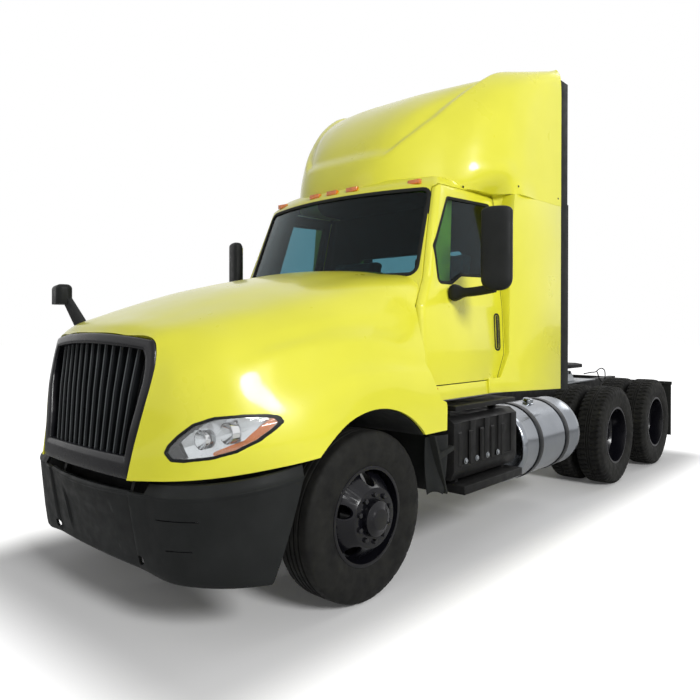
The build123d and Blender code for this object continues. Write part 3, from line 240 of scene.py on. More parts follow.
def points_of(mesh, what="co"):
    """An array of a mesh's points, or of another vector that is kept on them."""
    spots = np.empty(len(mesh.vertices) * 3, np.float32)
    mesh.vertices.foreach_get(what, spots)
    return spots.reshape(-1, 3)


def bake(piece):
    """Put what the modifiers make into the mesh."""
    bpy.context.view_layer.update()
    done = piece.evaluated_get(bpy.context.evaluated_depsgraph_get())
    mesh = bpy.data.meshes.new_from_object(done)
    piece.modifiers.clear()
    piece.data = mesh
    return piece


def carve(piece, *tools, solver="EXACT"):
    """Cut the tools out of a piece."""
    for tool in tools:
        modifier = piece.modifiers.new("carve", "BOOLEAN")
        modifier.operation = "DIFFERENCE"
        modifier.solver = solver
        modifier.object = tool
    bake(piece)
    for tool in tools:
        bpy.data.objects.remove(tool)
    return piece


def soften(piece, width, angle):
    """Round the edges that are sharper than an angle."""
    modifier = piece.modifiers.new("edge", "BEVEL")
    modifier.width = width
    modifier.segments = 2
    modifier.limit_method = "ANGLE"
    modifier.angle_limit = radians(angle)
    modifier.harden_normals = False
    return bake(piece)


def join(name, pieces):
    """One mesh from several."""
    points, faces, start = [], [], 0
    for piece in pieces:
        mesh = piece.data
        points.append(points_of(mesh))
        faces += [[start + v for v in face.vertices] for face in mesh.polygons]
        start += len(mesh.vertices)
    for piece in pieces:
        bpy.data.objects.remove(piece)
    return mesh_of(name, np.concatenate(points), faces)


def dress(piece, body, slot, material, *nodes, smooth=SMOOTH):
    """Shade, colour and hang a finished piece on its body."""
    piece.data.shade_smooth()
    piece.data.set_sharp_from_angle(angle=smooth)
    piece.data.materials.clear()
    piece.data.materials.append(material)
    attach(piece, body)
    if nodes:
        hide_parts(*nodes)
    return piece


def merged_copy(node, name):
    """A copy of a CAD piece with its triangles joined into one surface."""
    mesh = frame["nodes"][node].data.copy()
    mesh.name = name
    with opened(mesh) as work:
        bmesh.ops.remove_doubles(work, verts=work.verts, dist=1e-5)
        bmesh.ops.dissolve_limit(work, angle_limit=radians(0.5), verts=work.verts, edges=work.edges)
    mesh.materials.clear()
    return link(bpy.data.objects.new(name, mesh))


# ---------------------------------------------------------------- materials
def finish_of(name, colour, roughness, metallic=0.0, **sockets):
    """A material with one shader whose constant values sit on its own sockets."""
    material = bpy.data.materials.new(name)
    material.use_nodes = True
    shader = material.node_tree.nodes["Principled BSDF"]
    shader.inputs["Base Color"].default_value = (*colour, 1.0)
    shader.inputs["Roughness"].default_value = roughness
    shader.inputs["Metallic"].default_value = metallic
    for socket, value in sockets.items():
        shader.inputs[socket.replace("_", " ")].default_value = value
    return material, shader


def noise(material, scale, detail=3.0, stretch=(1, 1, 1), roughness=0.5):
    """Noise on object coordinates; returns its value socket."""
    nodes, links = material.node_tree.nodes, material.node_tree.links
    place = nodes.new("ShaderNodeTexCoord")
    mapping = nodes.new("ShaderNodeMapping")
    mapping.inputs["Scale"].default_value = stretch
    texture = nodes.new("ShaderNodeTexNoise")
    texture.inputs["Scale"].default_value = scale
    texture.inputs["Detail"].default_value = detail
    texture.inputs["Roughness"].default_value = roughness
    links.new(place.outputs["Object"], mapping.inputs["Vector"])
    links.new(mapping.outputs["Vector"], texture.inputs["Vector"])
    return texture.outputs["Fac"]


def spread(material, value, socket, low, high, start=0.3, end=0.7):
    """Drive a shader socket from a value: numbers or colours between two ends."""
    nodes, links = material.node_tree.nodes, material.node_tree.links
    shader = nodes["Principled BSDF"]
    if isinstance(low, tuple):
        ramp = nodes.new("ShaderNodeValToRGB")
        ramp.color_ramp.elements[0].position = start
        ramp.color_ramp.elements[1].position = end
        ramp.color_ramp.elements[0].color = (*low, 1.0)
        ramp.color_ramp.elements[1].color = (*high, 1.0)
        links.new(value, ramp.inputs["Fac"])
        links.new(ramp.outputs["Color"], shader.inputs[socket])
        return
    ramp = nodes.new("ShaderNodeMapRange")
    ramp.inputs["From Min"].default_value = start
    ramp.inputs["From Max"].default_value = end
    ramp.inputs["To Min"].default_value = low
    ramp.inputs["To Max"].default_value = high
    links.new(value, ramp.inputs["Value"])
    links.new(ramp.outputs["Result"], shader.inputs[socket])


def bump(material, value, strength, distance):
    """Raise the surface's shading by a value, on top of any bump it already has."""
    nodes, links = material.node_tree.nodes, material.node_tree.links
    shader = nodes["Principled BSDF"]
    node = nodes.new("ShaderNodeBump")
    node.inputs["Strength"].default_value = strength
    node.inputs["Distance"].default_value = distance
    links.new(value, node.inputs["Height"])
    if shader.inputs["Normal"].is_linked:
        links.new(shader.inputs["Normal"].links[0].from_socket, node.inputs["Normal"])
    links.new(node.outputs["Normal"], shader.inputs["Normal"])


def yellow_paint():
    """Lemon yellow gloss paint under clear coat, with a faint orange peel and a little dust."""
    material, _ = finish_of(
        "yellow_paint", (0.78, 0.74, 0.02), 0.32,
        Coat_Weight=0.5, Coat_Roughness=0.09, Specular_IOR_Level=0.35,
    )
    spread(material, noise(material, 1.3), "Base Color", (0.74, 0.72, 0.035), (0.82, 0.79, 0.05))
    spread(material, noise(material, 3.0, 4), "Roughness", 0.26, 0.38)
    bump(material, noise(material, 260, 2), 0.05, 0.0006)
    return material


def moulded_plastic(name, colour, roughness, grain=900):
    """Moulded black plastic with a fine even grain."""
    material, _ = finish_of(name, colour, roughness, Specular_IOR_Level=0.16)
    lighter = tuple(min(1.0, c * 1.35 + 0.002) for c in colour)
    spread(material, noise(material, 5, 4), "Base Color", colour, lighter)
    spread(material, noise(material, 14, 5), "Roughness", roughness - 0.07, roughness + 0.1)
    bump(material, noise(material, grain, 2), 0.18, 0.0006)
    return material


def tyre_rubber():
    """Black rubber, greyer where dust holds, with a fine moulded grain."""
    material, _ = finish_of("tyre_rubber", (0.010, 0.010, 0.010), 0.72, Specular_IOR_Level=0.14)
    spread(material, noise(material, 9, 6), "Base Color", (0.007, 0.007, 0.007), (0.017, 0.017, 0.015))
    spread(material, noise(material, 22, 5), "Roughness", 0.55, 0.8)
    bump(material, noise(material, 420, 3), 0.22, 0.0008)
    return material


def gloss_black(name, roughness=0.14):
    """Gloss black paint or plastic under a thin coat, unevenly polished."""
    material, _ = finish_of(
        name, (0.004, 0.004, 0.006), roughness, Coat_Weight=0.12, Coat_Roughness=0.05,
        Specular_IOR_Level=0.25,
    )
    spread(material, noise(material, 6, 5), "Roughness", roughness, roughness + 0.14)
    bump(material, noise(material, 180, 2), 0.06, 0.0005)
    return material


def chassis_paint(name="chassis_paint", colour=(0.006, 0.006, 0.006), roughness=0.48):
    """Satin black over steel, dusty in patches."""
    material, _ = finish_of(name, colour, roughness, Specular_IOR_Level=0.16)
    dusty = tuple(c * 1.9 + 0.002 for c in colour)
    spread(material, noise(material, 4.5, 8, roughness=0.62), "Base Color", colour, dusty, 0.4, 0.75)
    spread(material, noise(material, 11, 6), "Roughness", roughness - 0.1, roughness + 0.18)
    bump(material, noise(material, 150, 4), 0.16, 0.0008)
    return material


def bright_metal(name, colour, roughness, stretch, scale=60):
    """Polished or brushed metal: fine scratches along one direction."""
    material, _ = finish_of(name, colour, roughness, 1.0)
    lines = noise(material, scale, 6, stretch, 0.65)
    spread(material, lines, "Roughness", max(roughness - 0.06, 0.03), roughness + 0.12)
    spread(
        material, noise(material, 3.0, 5), "Base Color", tuple(0.8 * c for c in colour), colour
    )
    bump(material, lines, 0.05, 0.0004)
    return material


def tinted_glass(name, colour, weight=1.0, roughness=0.015):
    """Tinted glass: clear both ways, with very slight waviness."""
    material, shader = finish_of(name, colour, roughness, IOR=1.20, Specular_IOR_Level=0.35)
    shader.inputs["Transmission Weight"].default_value = weight
    bump(material, noise(material, 2.0, 1), 0.02, 0.002)
    spread(material, noise(material, 4.0, 3), "Roughness", roughness, roughness + 0.02)
    return material


def woven_cloth(name, colour):
    """Seat cloth: two crossed sets of fine threads and a soft sheen."""
    material, _ = finish_of(name, colour, 0.85, Sheen_Weight=0.35, Sheen_Roughness=0.45)
    nodes, links = material.node_tree.nodes, material.node_tree.links
    place = nodes.new("ShaderNodeTexCoord")
    heights = []
    for direction in ("X", "Z"):
        wave = nodes.new("ShaderNodeTexWave")
        wave.wave_type = "BANDS"
        wave.bands_direction = direction
        wave.inputs["Scale"].default_value = 90
        wave.inputs["Distortion"].default_value = 0.6
        links.new(place.outputs["Object"], wave.inputs["Vector"])
        heights.append(wave.outputs["Fac"])
    add = nodes.new("ShaderNodeMath")
    add.operation = "MAXIMUM"
    links.new(heights[0], add.inputs[0])
    links.new(heights[1], add.inputs[1])
    bump(material, add.outputs["Value"], 0.35, 0.0012)
    lighter = tuple(c * 1.6 for c in colour)
    spread(material, noise(material, 35, 6), "Base Color", colour, lighter)
    return material


def lens(name, colour, weight, roughness=0.08):
    """A moulded lamp lens with shallow ribs across it."""
    material, shader = finish_of(name, colour, roughness, IOR=1.46, Coat_Weight=0.5)
    shader.inputs["Transmission Weight"].default_value = weight
    bump(material, noise(material, 30, 2, (1, 1, 6)), 0.2, 0.002)
    spread(material, noise(material, 8, 3), "Roughness", roughness, roughness + 0.08)
    return material


PAINT = yellow_paint()
TRIM = moulded_plastic("trim_plastic", (0.0095, 0.0105, 0.0105), 0.50)
GRILLE = moulded_plastic("grille_plastic", (0.007, 0.008, 0.009), 0.34)
CABIN = moulded_plastic("cabin_plastic", (0.016, 0.017, 0.018), 0.62, 400)
RUBBER = tyre_rubber()
SEAL = moulded_plastic("seal_rubber", (0.013, 0.014, 0.013), 0.75, 500)
WHEEL = gloss_black("wheel_paint")
CHASSIS = chassis_paint()
CASTING = chassis_paint("casting", (0.010, 0.010, 0.011), 0.6)
# the tanks' metal is kept far darker than bare polished metal: painted shade for the dark ground they reflect
TANK = bright_metal("tank_metal", (0.30, 0.32, 0.35), 0.17, (1, 14, 1))
STRAP = bright_metal("strap_metal", (0.035, 0.037, 0.040), 0.34, (1, 1, 1))
BASE = bright_metal("base_metal", (0.36, 0.38, 0.40), 0.38, (8, 1, 1))
CHROME = bright_metal("chrome", (0.86, 0.87, 0.88), 0.08, (1, 1, 1))
GLASS = tinted_glass("tinted_glass", (0.24, 0.42, 0.47))
CLOTH = woven_cloth("seat_cloth", (0.030, 0.031, 0.034))
AMBER = lens("amber_lens", (0.95, 0.28, 0.03), 0.35)
CLEAR = lens("clear_lens", (0.94, 0.96, 0.97), 0.97, 0.02)
GLOSS = gloss_black("surround_gloss", 0.22)
EDGE = moulded_plastic("bar_edge", (0.075, 0.082, 0.085), 0.38)
NUT = bright_metal("nut_metal", (.055, .055, .06), .26, (1, 1, 1))

SLOT_FINISH = {
    "paint": PAINT, "trim_plastic": TRIM, "grille_plastic": GRILLE, "tinted_glass": GLASS,
    "clear_lens": CLEAR, "amber_lens": AMBER, "tyre_rubber": RUBBER, "wheel_paint": WHEEL,
    "frame_paint": CHASSIS, "casting": CASTING, "tank_metal": TANK, "strap_metal": STRAP,
    "base_metal": BASE, "seal_rubber": SEAL, "cabin_plastic": CABIN, "seat_cloth": CLOTH,
}
for row in frame["record"]["subparts"]:
    node = frame["nodes"][row["node"]]
    node.data.materials.clear()
    node.data.materials.append(SLOT_FINISH[row["material_slot"]])


# ---------------------------------------------------------------- stage, light and camera
FLOOR_GLOW_AND_PAINTED_SHADOW = (0.0, 0.8, 0.04, 1.0)     # distances off the footprint, and the floor's glow at each: almost none at the footprint, a painted shadow round the truck's base, full white further out
FOOTPRINT = (1.20, 3.60, 0.0)          # half the truck's width and length
WORLD_LIGHT = 0.24
LAMP_AIM = (0, 0, 1.4)
LAMPS = [                      # name, place, diameter, watts
    ("key", (12.0, -5.2, 7.5), 3.8, 1230),
    ("front", (-4.0, -12.0, 6.0), 6.0, 40),
    ("rear", (3.0, 10.0, 10.0), 6.0, 260),
]
FRAME = 700                    # pixels across the frame
FOCAL = 635.5                  # focal length in those pixels
OFFSET_X, OFFSET_Y = -20.0, -19.4      # the frame's middle from the optical centre, in those pixels


def wired(tree, kind, operation, *sources):
    """A node that does one operation, its first inputs joined to the given sockets."""
    node = tree.nodes.new(kind)
    node.operation = operation
    for socket, source in zip(node.inputs, sources):
        tree.links.new(source, socket)
    return node


def pale_floor():
    """A matte floor that the camera alone sees glow white away from the truck; close round the truck the glow
    is held back, a painted shadow round its base.

    Glow: a smooth step of the distance outside a rectangle, which is the length of what the
    absolute place has over the rectangle's half sides.
    """
    floor = mesh_of("floor", [(-60, -60, 0), (60, -60, 0), (60, 60, 0), (-60, 60, 0)], [(0, 1, 2, 3)])
    material = bpy.data.materials.new("floor")
    material.use_nodes = True
    tree = material.node_tree
    nodes, links = tree.nodes, tree.links
    nodes.clear()
    out = nodes.new("ShaderNodeOutputMaterial")
    matte = nodes.new("ShaderNodeBsdfDiffuse")
    matte.inputs["Color"].default_value = (0.86, 0.86, 0.86, 1)
    glow = nodes.new("ShaderNodeEmission")
    both = nodes.new("ShaderNodeAddShader")
    path = nodes.new("ShaderNodeLightPath")
    place = nodes.new("ShaderNodeTexCoord")
    size = wired(tree, "ShaderNodeVectorMath", "ABSOLUTE", place.outputs["Object"])
    past = wired(tree, "ShaderNodeVectorMath", "SUBTRACT", size.outputs["Vector"])
    past.inputs[1].default_value = FOOTPRINT
    outside = wired(tree, "ShaderNodeVectorMath", "MAXIMUM", past.outputs["Vector"])
    away = wired(tree, "ShaderNodeVectorMath", "LENGTH", outside.outputs["Vector"])
    grow = nodes.new("ShaderNodeMapRange")
    grow.interpolation_type = "SMOOTHSTEP"
    for socket, value in zip(("From Min", "From Max", "To Min", "To Max"), FLOOR_GLOW_AND_PAINTED_SHADOW):
        grow.inputs[socket].default_value = value
    links.new(away.outputs["Value"], grow.inputs["Value"])
    # the camera's glow: nearly nil at the truck's footprint, a painted shadow round its base, rising to white
    # 0.8 m out
    lift = wired(tree, "ShaderNodeMath", "MULTIPLY", path.outputs["Is Camera Ray"], grow.outputs["Result"])
    links.new(lift.outputs["Value"], glow.inputs["Strength"])
    links.new(matte.outputs["BSDF"], both.inputs[0])
    links.new(glow.outputs["Emission"], both.inputs[1])
    links.new(both.outputs["Shader"], out.inputs["Surface"])
    floor.data.materials.append(material)


def white_world():
    """A dim even light, which camera, glossy and transmitted rays see as white."""
    world = bpy.data.worlds.new("studio")
    bpy.context.scene.world = world
    world.use_nodes = True
    tree = world.node_tree
    background = tree.nodes["Background"]
    background.inputs["Color"].default_value = (1, 1, 1, 1)
    rays = tree.nodes.new("ShaderNodeLightPath").outputs
    bent = wired(tree, "ShaderNodeMath", "MAXIMUM", rays["Is Glossy Ray"], rays["Is Transmission Ray"])
    seen = wired(tree, "ShaderNodeMath", "MAXIMUM", rays["Is Camera Ray"], bent.outputs["Value"])
    strength = tree.nodes.new("ShaderNodeMapRange")
    strength.inputs["To Min"].default_value = WORLD_LIGHT
    strength.inputs["To Max"].default_value = 1.0
    tree.links.new(seen.outputs["Value"], strength.inputs["Value"])
    tree.links.new(strength.outputs["Result"], background.inputs["Strength"])


def soft_lamps():
    """Round area lamps that all look at the truck's middle."""
    for name, place, size, power in LAMPS:
        data = bpy.data.lights.new(name, "AREA")
        data.shape = "DISK"
        data.size = size
        data.energy = power
        lamp = link(bpy.data.objects.new(name, data))
        lamp.location = place
        lamp.rotation_mode = "QUATERNION"
        lamp.rotation_quaternion = (Vector(LAMP_AIM) - Vector(place)).to_track_quat("-Z", "Y")


pale_floor()
white_world()
soft_lamps()


def camera():
    """The camera: its place, its three axes, and the frame's offset from its optical centre."""
    forward = Vector((-0.65587, 0.75487, -0.00211)).normalized()
    right = Vector((0.75486, 0.65588, 0.00222)).normalized()
    up = right.cross(forward)
    data = bpy.data.cameras.new("camera")
    data.sensor_width = 36.0
    data.lens = FOCAL / FRAME * data.sensor_width
    data.shift_x = OFFSET_X / FRAME
    data.shift_y = OFFSET_Y / FRAME
    data.clip_end = 200
    made = link(bpy.data.objects.new("camera", data))
    turn = Matrix((right, up, -forward)).transposed()
    made.matrix_world = Matrix.Translation((3.6462, -2.8755 + AXLE_Y, 1.6390)) @ turn.to_4x4()
    bpy.context.scene.camera = made


camera()
bpy.context.scene.view_settings.view_transform = "Standard"


# ---------------------------------------------------------------- hood
# Each rib runs from the lower edge over the wheel and up to the middle of the hood: lower edge,
# side, flare, hollow, fender crest, hollow, lower and upper shoulder, top, middle.  Its rows are
# x, station (one number where they are all alike) and z.  The first rib lies along the grille,
# the last at the cab.
HOOD_NET = [
    (
        [.523, .535, .55, .574, .596, .611, .614, .59, .33, 0],
        [-1.212, -1.195, -1.178, -1.163, -1.146, -1.124, -1.1, -1.082, -1.125, -1.15],
        [.847, .95, 1.05, 1.15, 1.25, 1.35, 1.45, 1.56, 1.606, 1.618],
    ),
    (
        [.75, .765, .772, .772, .762, .738, .7, .64, .4, 0],
        [-1.106, -1.085, -1.066, -1.056, -1.05, -1.042, -1.03, -1.02, -1.07, -1.1],
        [.857, 1, 1.13, 1.24, 1.33, 1.42, 1.5, 1.59, 1.655, 1.668],
    ),
    (
        [.93, .952, .952, .938, .912, .872, .815, .715, .44, 0],
        [-.966, -.945, -.925, -.905, -.893, -.88, -.87, -.88, -.91, -.93],
        [.87, 1.03, 1.17, 1.29, 1.39, 1.485, 1.565, 1.637, 1.71, 1.737],
    ),
    (
        [1.09, 1.1, 1.072, 1.035, .992, .935, .88, .785, .47, 0],
        [-.737, -.72, -.7, -.69, -.67, -.66, -.66, -.66, -.67, -.68],
        [.905, 1.06, 1.22, 1.345, 1.475, 1.54, 1.605, 1.69, 1.785, 1.823],
    ),
    (
        [1.2, 1.19, 1.14, 1.078, 1.028, .968, .918, .822, .5, 0],
        [-.47, -.47, -.46, -.46, -.45, -.45, -.45, -.45, -.45, -.45],
        [.9, 1.12, 1.285, 1.4, 1.53, 1.59, 1.655, 1.735, 1.845, 1.893],
    ),
    (
        [1.2, 1.198, 1.172, 1.122, 1.082, 1.008, .96, .865, .52, 0],
        -.2,
        [.9, 1.16, 1.345, 1.44, 1.562, 1.645, 1.71, 1.795, 1.905, 1.952],
    ),
    (
        [1.2, 1.2, 1.185, 1.145, 1.118, 1.05, 1.005, .905, .55, 0],
        .1,
        [.9, 1.18, 1.36, 1.445, 1.565, 1.665, 1.745, 1.855, 1.965, 2.015],
    ),
    (
        [1.2, 1.2, 1.182, 1.16, 1.148, 1.09, 1.045, .955, .58, 0],
        .45,
        [.9, 1.18, 1.35, 1.41, 1.505, 1.645, 1.76, 1.912, 2.03, 2.075],
    ),
    (
        [1.2, 1.2, 1.178, 1.15, 1.135, 1.1, 1.065, .985, .6, 0],
        .8,
        [.9, 1.16, 1.34, 1.41, 1.5, 1.63, 1.78, 1.955, 2.06, 2.092],
    ),
]
HOOD_WALL = 0.020
CUT = 1.5                      # how far a cut through the whole hood reaches to either side
HOOD_FOOT = [                  # (station, z) of what is cut away below
    (-1.5, .6), (-1.5, .847), (-1.20, .849), (-1.0, .874), (-.80, .900), (-.47, .945), (.95, .953), (.95, .6),
]
HOOD_REAR = [                  # (station, z) of what is cut away at the cab
    (.547, 1.428), (.60, 1.31), (.678, 1.166), (.745, 1.14), (.745, .6), (1.3, .6), (1.3, 2.4),
    (.815, 2.4), (.80, 2.05), (.59, 1.805),
]
ARCH_RADIUS = 0.648
ARCH_STATION = 0.020
LAMP_OUTLINE = [
    (.715, 1.002), (.754, .961), (.812, .959), (.929, .976), (1.011, 1.007), (1.070, 1.059), (1.101, 1.112),
    (1.115, 1.153), (1.096, 1.184), (1.068, 1.194), (1.014, 1.197), (.920, 1.187), (.839, 1.152),
    (.773, 1.092), (.731, 1.042),
]


def both_sides(net):
    """Ribs of one side, each as its x, stations and z, continued over the middle to the other."""
    net = np.array([np.stack(np.broadcast_arrays(*rib), -1) for rib in net], float)
    return np.concatenate([net, net[:, -2::-1] * (-1, 1, 1)], axis=1)


def wheel_arch():
    """A circle round the front wheel, a little behind its axle."""
    turn = np.linspace(0, 2 * pi, 96, endpoint=False)
    return np.column_stack([
        ARCH_STATION + ARCH_RADIUS * np.cos(turn), WHEEL_Z + ARCH_RADIUS * np.sin(turn)
    ])


def hood_grid(rows=136, columns=200):
    """The hood's skin: smooth curves along the ribs of its net, then from rib to rib."""
    return net_surface(both_sides(HOOD_NET) + (0, AXLE_Y, 0), rows, columns)


def hood():
    """The tilting hood: one smooth sheet with the arches, lamps, grille and lower edge cut."""
    piece = shell("hood", hood_grid(), HOOD_WALL)
    tools = [
        prism("arch", wheel_arch(), "X", -CUT, CUT),
        prism("lower", HOOD_FOOT, "X", -CUT, CUT),
        prism("rear", rounded(HOOD_REAR, .03), "X", -CUT, CUT),
        prism("grille_way", surround_outline(-.004), "Y", -1.6, -.75),
    ]
    for way in (-1, 1):
        outline = np.array(LAMP_OUTLINE) * (way, 1)
        tools.append(prism("lamp_way", rounded(outline, .014, 4), "Y", -1.45, -.50))
    carve(piece, *tools)
    dress(piece, "hood", "paint", PAINT, "hood_shell", smooth=radians(40))


# ---------------------------------------------------------------- shared surfaces of the body
CAB_LEVELS = [                 # z, half width at the back, at the front, stations: corner, middle, back
    (1.145, 1.120, 1.120, .578, .572, 1.880),
    (1.805, 1.085, 1.078, .612, .580, 1.880),
    (2.010, 1.063, 1.035, .768, .600, 1.880),
    (2.716, .962, .935, 1.012, .822, 1.880),
    (2.800, .895, .870, 1.085, .905, 1.840),
]


NOSE_LEVELS = [                # z, station at the middle, and the bend per square metre of x
    (.80, -1.224, .084), (1.29, -1.188, .1515), (2.20, -1.096, .370),
]


def cab_level(z):
    """The cab's plan at a height, in straight lines between the table's rows."""
    table = np.array(CAB_LEVELS)
    return [np.interp(z, table[:, 0], column) for column in table[:, 1:].T]


def cab_side(z, station):
    """Half width of the cab: it widens in a straight line from the front corner to the back."""
    back_half, front_half, corner, _, back = cab_level(z)
    return front_half + (back_half - front_half) * (station - corner) / (back - corner)


def cab_front(x, z):
    """Station of the windscreen's surface: an arc through the middle and both corners."""
    _, half, corner, middle, _ = cab_level(z)
    sag = corner - middle
    bend = (half**2 + sag**2) / (2 * sag)
    return middle + bend - np.sqrt(bend**2 - x**2)


def nose(x, z):
    """Station of the grille's surface: its middle at that height, plus a bend times x squared."""
    levels, middle, bend = np.transpose(NOSE_LEVELS)
    return np.interp(z, levels, middle) + np.interp(z, levels, bend) * np.square(x)


def on_front(surface):
    """Points (x, z) and a depth behind a front surface, as points of the truck."""
    def place(spots, depth):
        x, z = spots[:, 0], spots[:, 1]
        return np.column_stack([x, surface(x, z) + depth + AXLE_Y, z])
    return place


def on_side(surface, way):
    """Points (station, z) and a depth inside a side skin, as points of the truck."""
    def place(spots, depth):
        station, z = spots[:, 0], spots[:, 1]
        return np.column_stack([way * (surface(z, station) - depth), station + AXLE_Y, z])
    return place


def even(outline, count):
    """An outline cut into a given number of equal steps."""
    closed = np.concatenate([outline, outline[:1]])
    run = np.concatenate([[0], np.cumsum(np.linalg.norm(np.diff(closed, axis=0), axis=1))])
    at = np.linspace(0, run[-1], count, endpoint=False)
    return np.column_stack([np.interp(at, run, closed[:, k]) for k in (0, 1)])


def offset(outline, amount):
    """An outline moved outward (or inward when negative) along the mean of its neighbouring normals."""
    outline = np.asarray(outline, float)
    before, after = np.roll(outline, 1, 0), np.roll(outline, -1, 0)
    run = after - before
    normal = np.column_stack([run[:, 1], -run[:, 0]])
    normal /= np.maximum(np.linalg.norm(normal, axis=1, keepdims=True), 1e-9)
    area = np.sum(outline[:, 0] * after[:, 1] - after[:, 0] * outline[:, 1])
    return outline + normal * amount * (1 if area > 0 else -1)


def band(name, outer, inner, profile, place):
    """A closed ring between two outlines.

    The profile is a closed loop of (share from the outer to the inner outline, depth).
    """
    rows = [place(outer + (inner - outer) * share, depth) for share, depth in profile]
    return solid(name, np.array(rows), grid_faces(len(rows), len(outer), True, True))


def plate(name, outline, place, depth, thick, rings=6, dome=0.0):
    """A sheet filling an outline: rings shrinking to its middle, closed behind.

    A dome lifts a ring by the dome's height times one less the fourth power of the ring's share.
    """
    outline = np.asarray(outline, float)
    middle = outline.mean(0)
    shares = np.sin(np.linspace(0, pi / 2, rings))[::-1][:-1]
    front = [
        place(middle + (outline - middle) * share, depth - dome * (1 - share**4)) for share in shares
    ]
    count = len(outline)
    rows = [place(outline, depth + thick), *front]
    points = np.concatenate(
        [np.concatenate(rows), place(middle[None], depth - dome), place(middle[None], depth + thick)]
    )
    faces = grid_faces(len(rows), count, False, True).tolist()
    ring = np.arange(count)
    after = np.roll(ring, -1)
    last = (len(rows) - 1) * count
    top, bottom = len(rows) * count, len(rows) * count + 1
    faces += np.column_stack([last + ring, last + after, np.full(count, top)]).tolist()
    faces += np.column_stack([after, ring, np.full(count, bottom)]).tolist()
    return solid(name, points, faces)


def turned(name, profile, middle, axis, count):
    """A surface of revolution: a profile of (place along the axis, radius), poles where radius is 0."""
    profile = np.asarray(profile, float)
    turn = np.linspace(0, 2 * pi, count, endpoint=False)
    u, v = np.cos(turn), np.sin(turn)
    along = np.repeat(profile[:, 0], count)
    a = np.outer(profile[:, 1], u).ravel()
    b = np.outer(profile[:, 1], v).ravel()
    columns = {"Y": (a, along, b), "Z": (a, b, along)}[axis]
    points = np.column_stack(columns) + np.array(middle)
    return solid(name, points, grid_faces(len(profile), count, False, True), 1e-6)


BOLT_PROFILE = [               # (share of the height, share of the radius)
    (0, 1.45), (.16, 1.45), (.2, 1.3), (.2, 1.0), (.85, .98), (1.0, .8), (1.06, 0),
]


def bolts(name, places, direction, radius=0.011, height=0.008, sides=6):
    """Bolt heads: a washer, a six-sided head and a slightly domed top, each turned at random."""
    direction = np.asarray(direction, float)
    one = np.cross(direction, (0, 0, 1.0))
    one /= np.linalg.norm(one)
    two = np.cross(direction, one)
    points, faces, start = [], [], 0
    count = sides * 2
    corners = np.where(np.arange(count) % 2, 0.93, 1.0)
    for place in places:
        turn = np.arange(count) * 2 * pi / count + rng.uniform(0, pi)
        for share, reach in BOLT_PROFILE:
            on_head = 0.2 <= share < 1.05 and reach <= 1
            r = radius * reach * (corners if on_head else 1.0)
            points.append(
                np.asarray(place) + direction * height * share
                + np.outer(np.cos(turn) * r, one) + np.outer(np.sin(turn) * r, two)
            )
        faces.append(grid_faces(len(BOLT_PROFILE), count, False, True, start))
        start += len(BOLT_PROFILE) * count
    return solid(name, np.concatenate(points), np.concatenate(faces), 1e-5)


def eased(node, body, slot, material, width):
    """A CAD piece with its edges rounded and its curves shaded smooth."""
    piece = merged_copy(node, node + "_finished")
    soften(piece, width, 30)
    return dress(piece, body, slot, material, node)


def arc_through(a, b, c, count):
    """Points along the circle through three points."""
    (ax, ay), (bx, by), (cx, cy) = a, b, c
    d = 2 * (ax * (by - cy) + bx * (cy - ay) + cx * (ay - by))
    ox = ((ax**2 + ay**2) * (by - cy) + (bx**2 + by**2) * (cy - ay) + (cx**2 + cy**2) * (ay - by)) / d
    oy = ((ax**2 + ay**2) * (cx - bx) + (bx**2 + by**2) * (ax - cx) + (cx**2 + cy**2) * (bx - ax)) / d
    turns = np.unwrap([np.arctan2(y - oy, x - ox) for x, y in (a, b, c)])
    at = np.linspace(turns[0], turns[2], count)
    r = np.hypot(ax - ox, ay - oy)
    return np.column_stack([ox + r * np.cos(at), oy + r * np.sin(at)])


# ---------------------------------------------------------------- roof fairing
# Each level runs forward along the side and round to the middle of the front: its z, then the
# x and the stations of the back, side, knee, corner, five places of the front and the middle.
FAIRING_NET = [
    (
        2.742, [1.196, 1.172, 1.15, 1.015, .965, .8, .6, .4, 0],
        [2.556, 2.15, 1.81, 1.7, 1.44, 1.235, 1.05, .925, .885],
    ),
    (
        2.8, [1.196, 1.172, 1.15, 1.075, .99, .8, .6, .4, 0],
        [2.556, 2.15, 1.81, 1.69, 1.43, 1.232, 1.045, .922, .882],
    ),
    (
        2.87, [1.196, 1.172, 1.15, 1.12, 1.005, .8, .6, .4, 0],
        [2.556, 2.15, 1.83, 1.67, 1.43, 1.235, 1.05, .928, .888],
    ),
    (
        3.04, [1.196, 1.17, 1.148, 1.115, 1, .8, .6, .4, 0],
        [2.556, 2.16, 1.86, 1.69, 1.455, 1.265, 1.085, .972, .935],
    ),
    (
        3.24, [1.196, 1.168, 1.142, 1.105, .99, .8, .6, .4, 0],
        [2.556, 2.18, 1.9, 1.73, 1.51, 1.33, 1.155, 1.05, 1.015],
    ),
    (
        3.43, [1.196, 1.165, 1.138, 1.1, .99, .82, .62, .4, 0],
        [2.556, 2.2, 1.95, 1.79, 1.6, 1.44, 1.27, 1.185, 1.155],
    ),
    (
        3.64, [1.196, 1.165, 1.135, 1.1, 1.02, .9, .72, .42, 0],
        [2.556, 2.26, 2.06, 1.93, 1.79, 1.66, 1.53, 1.435, 1.41],
    ),
    (
        3.82, [1.194, 1.17, 1.142, 1.11, 1.065, .985, .86, .45, 0],
        [2.556, 2.37, 2.25, 2.17, 2.09, 1.98, 1.875, 1.815, 1.8],
    ),
    (
        3.93, [1.18, 1.165, 1.14, 1.11, 1.075, 1.01, .9, .48, 0],
        [2.556, 2.5, 2.44, 2.4, 2.365, 2.325, 2.285, 2.255, 2.245],
    ),
    (
        3.982, [1.15, 1.135, 1.12, 1.1, 1.07, 1.01, .92, .48, 0],
        [2.556, 2.552, 2.547, 2.543, 2.538, 2.53, 2.52, 2.505, 2.5],
    ),
]
FAIRING_WALL = 0.018
FAIRING_BACK = 2.556           # station of its rear edge
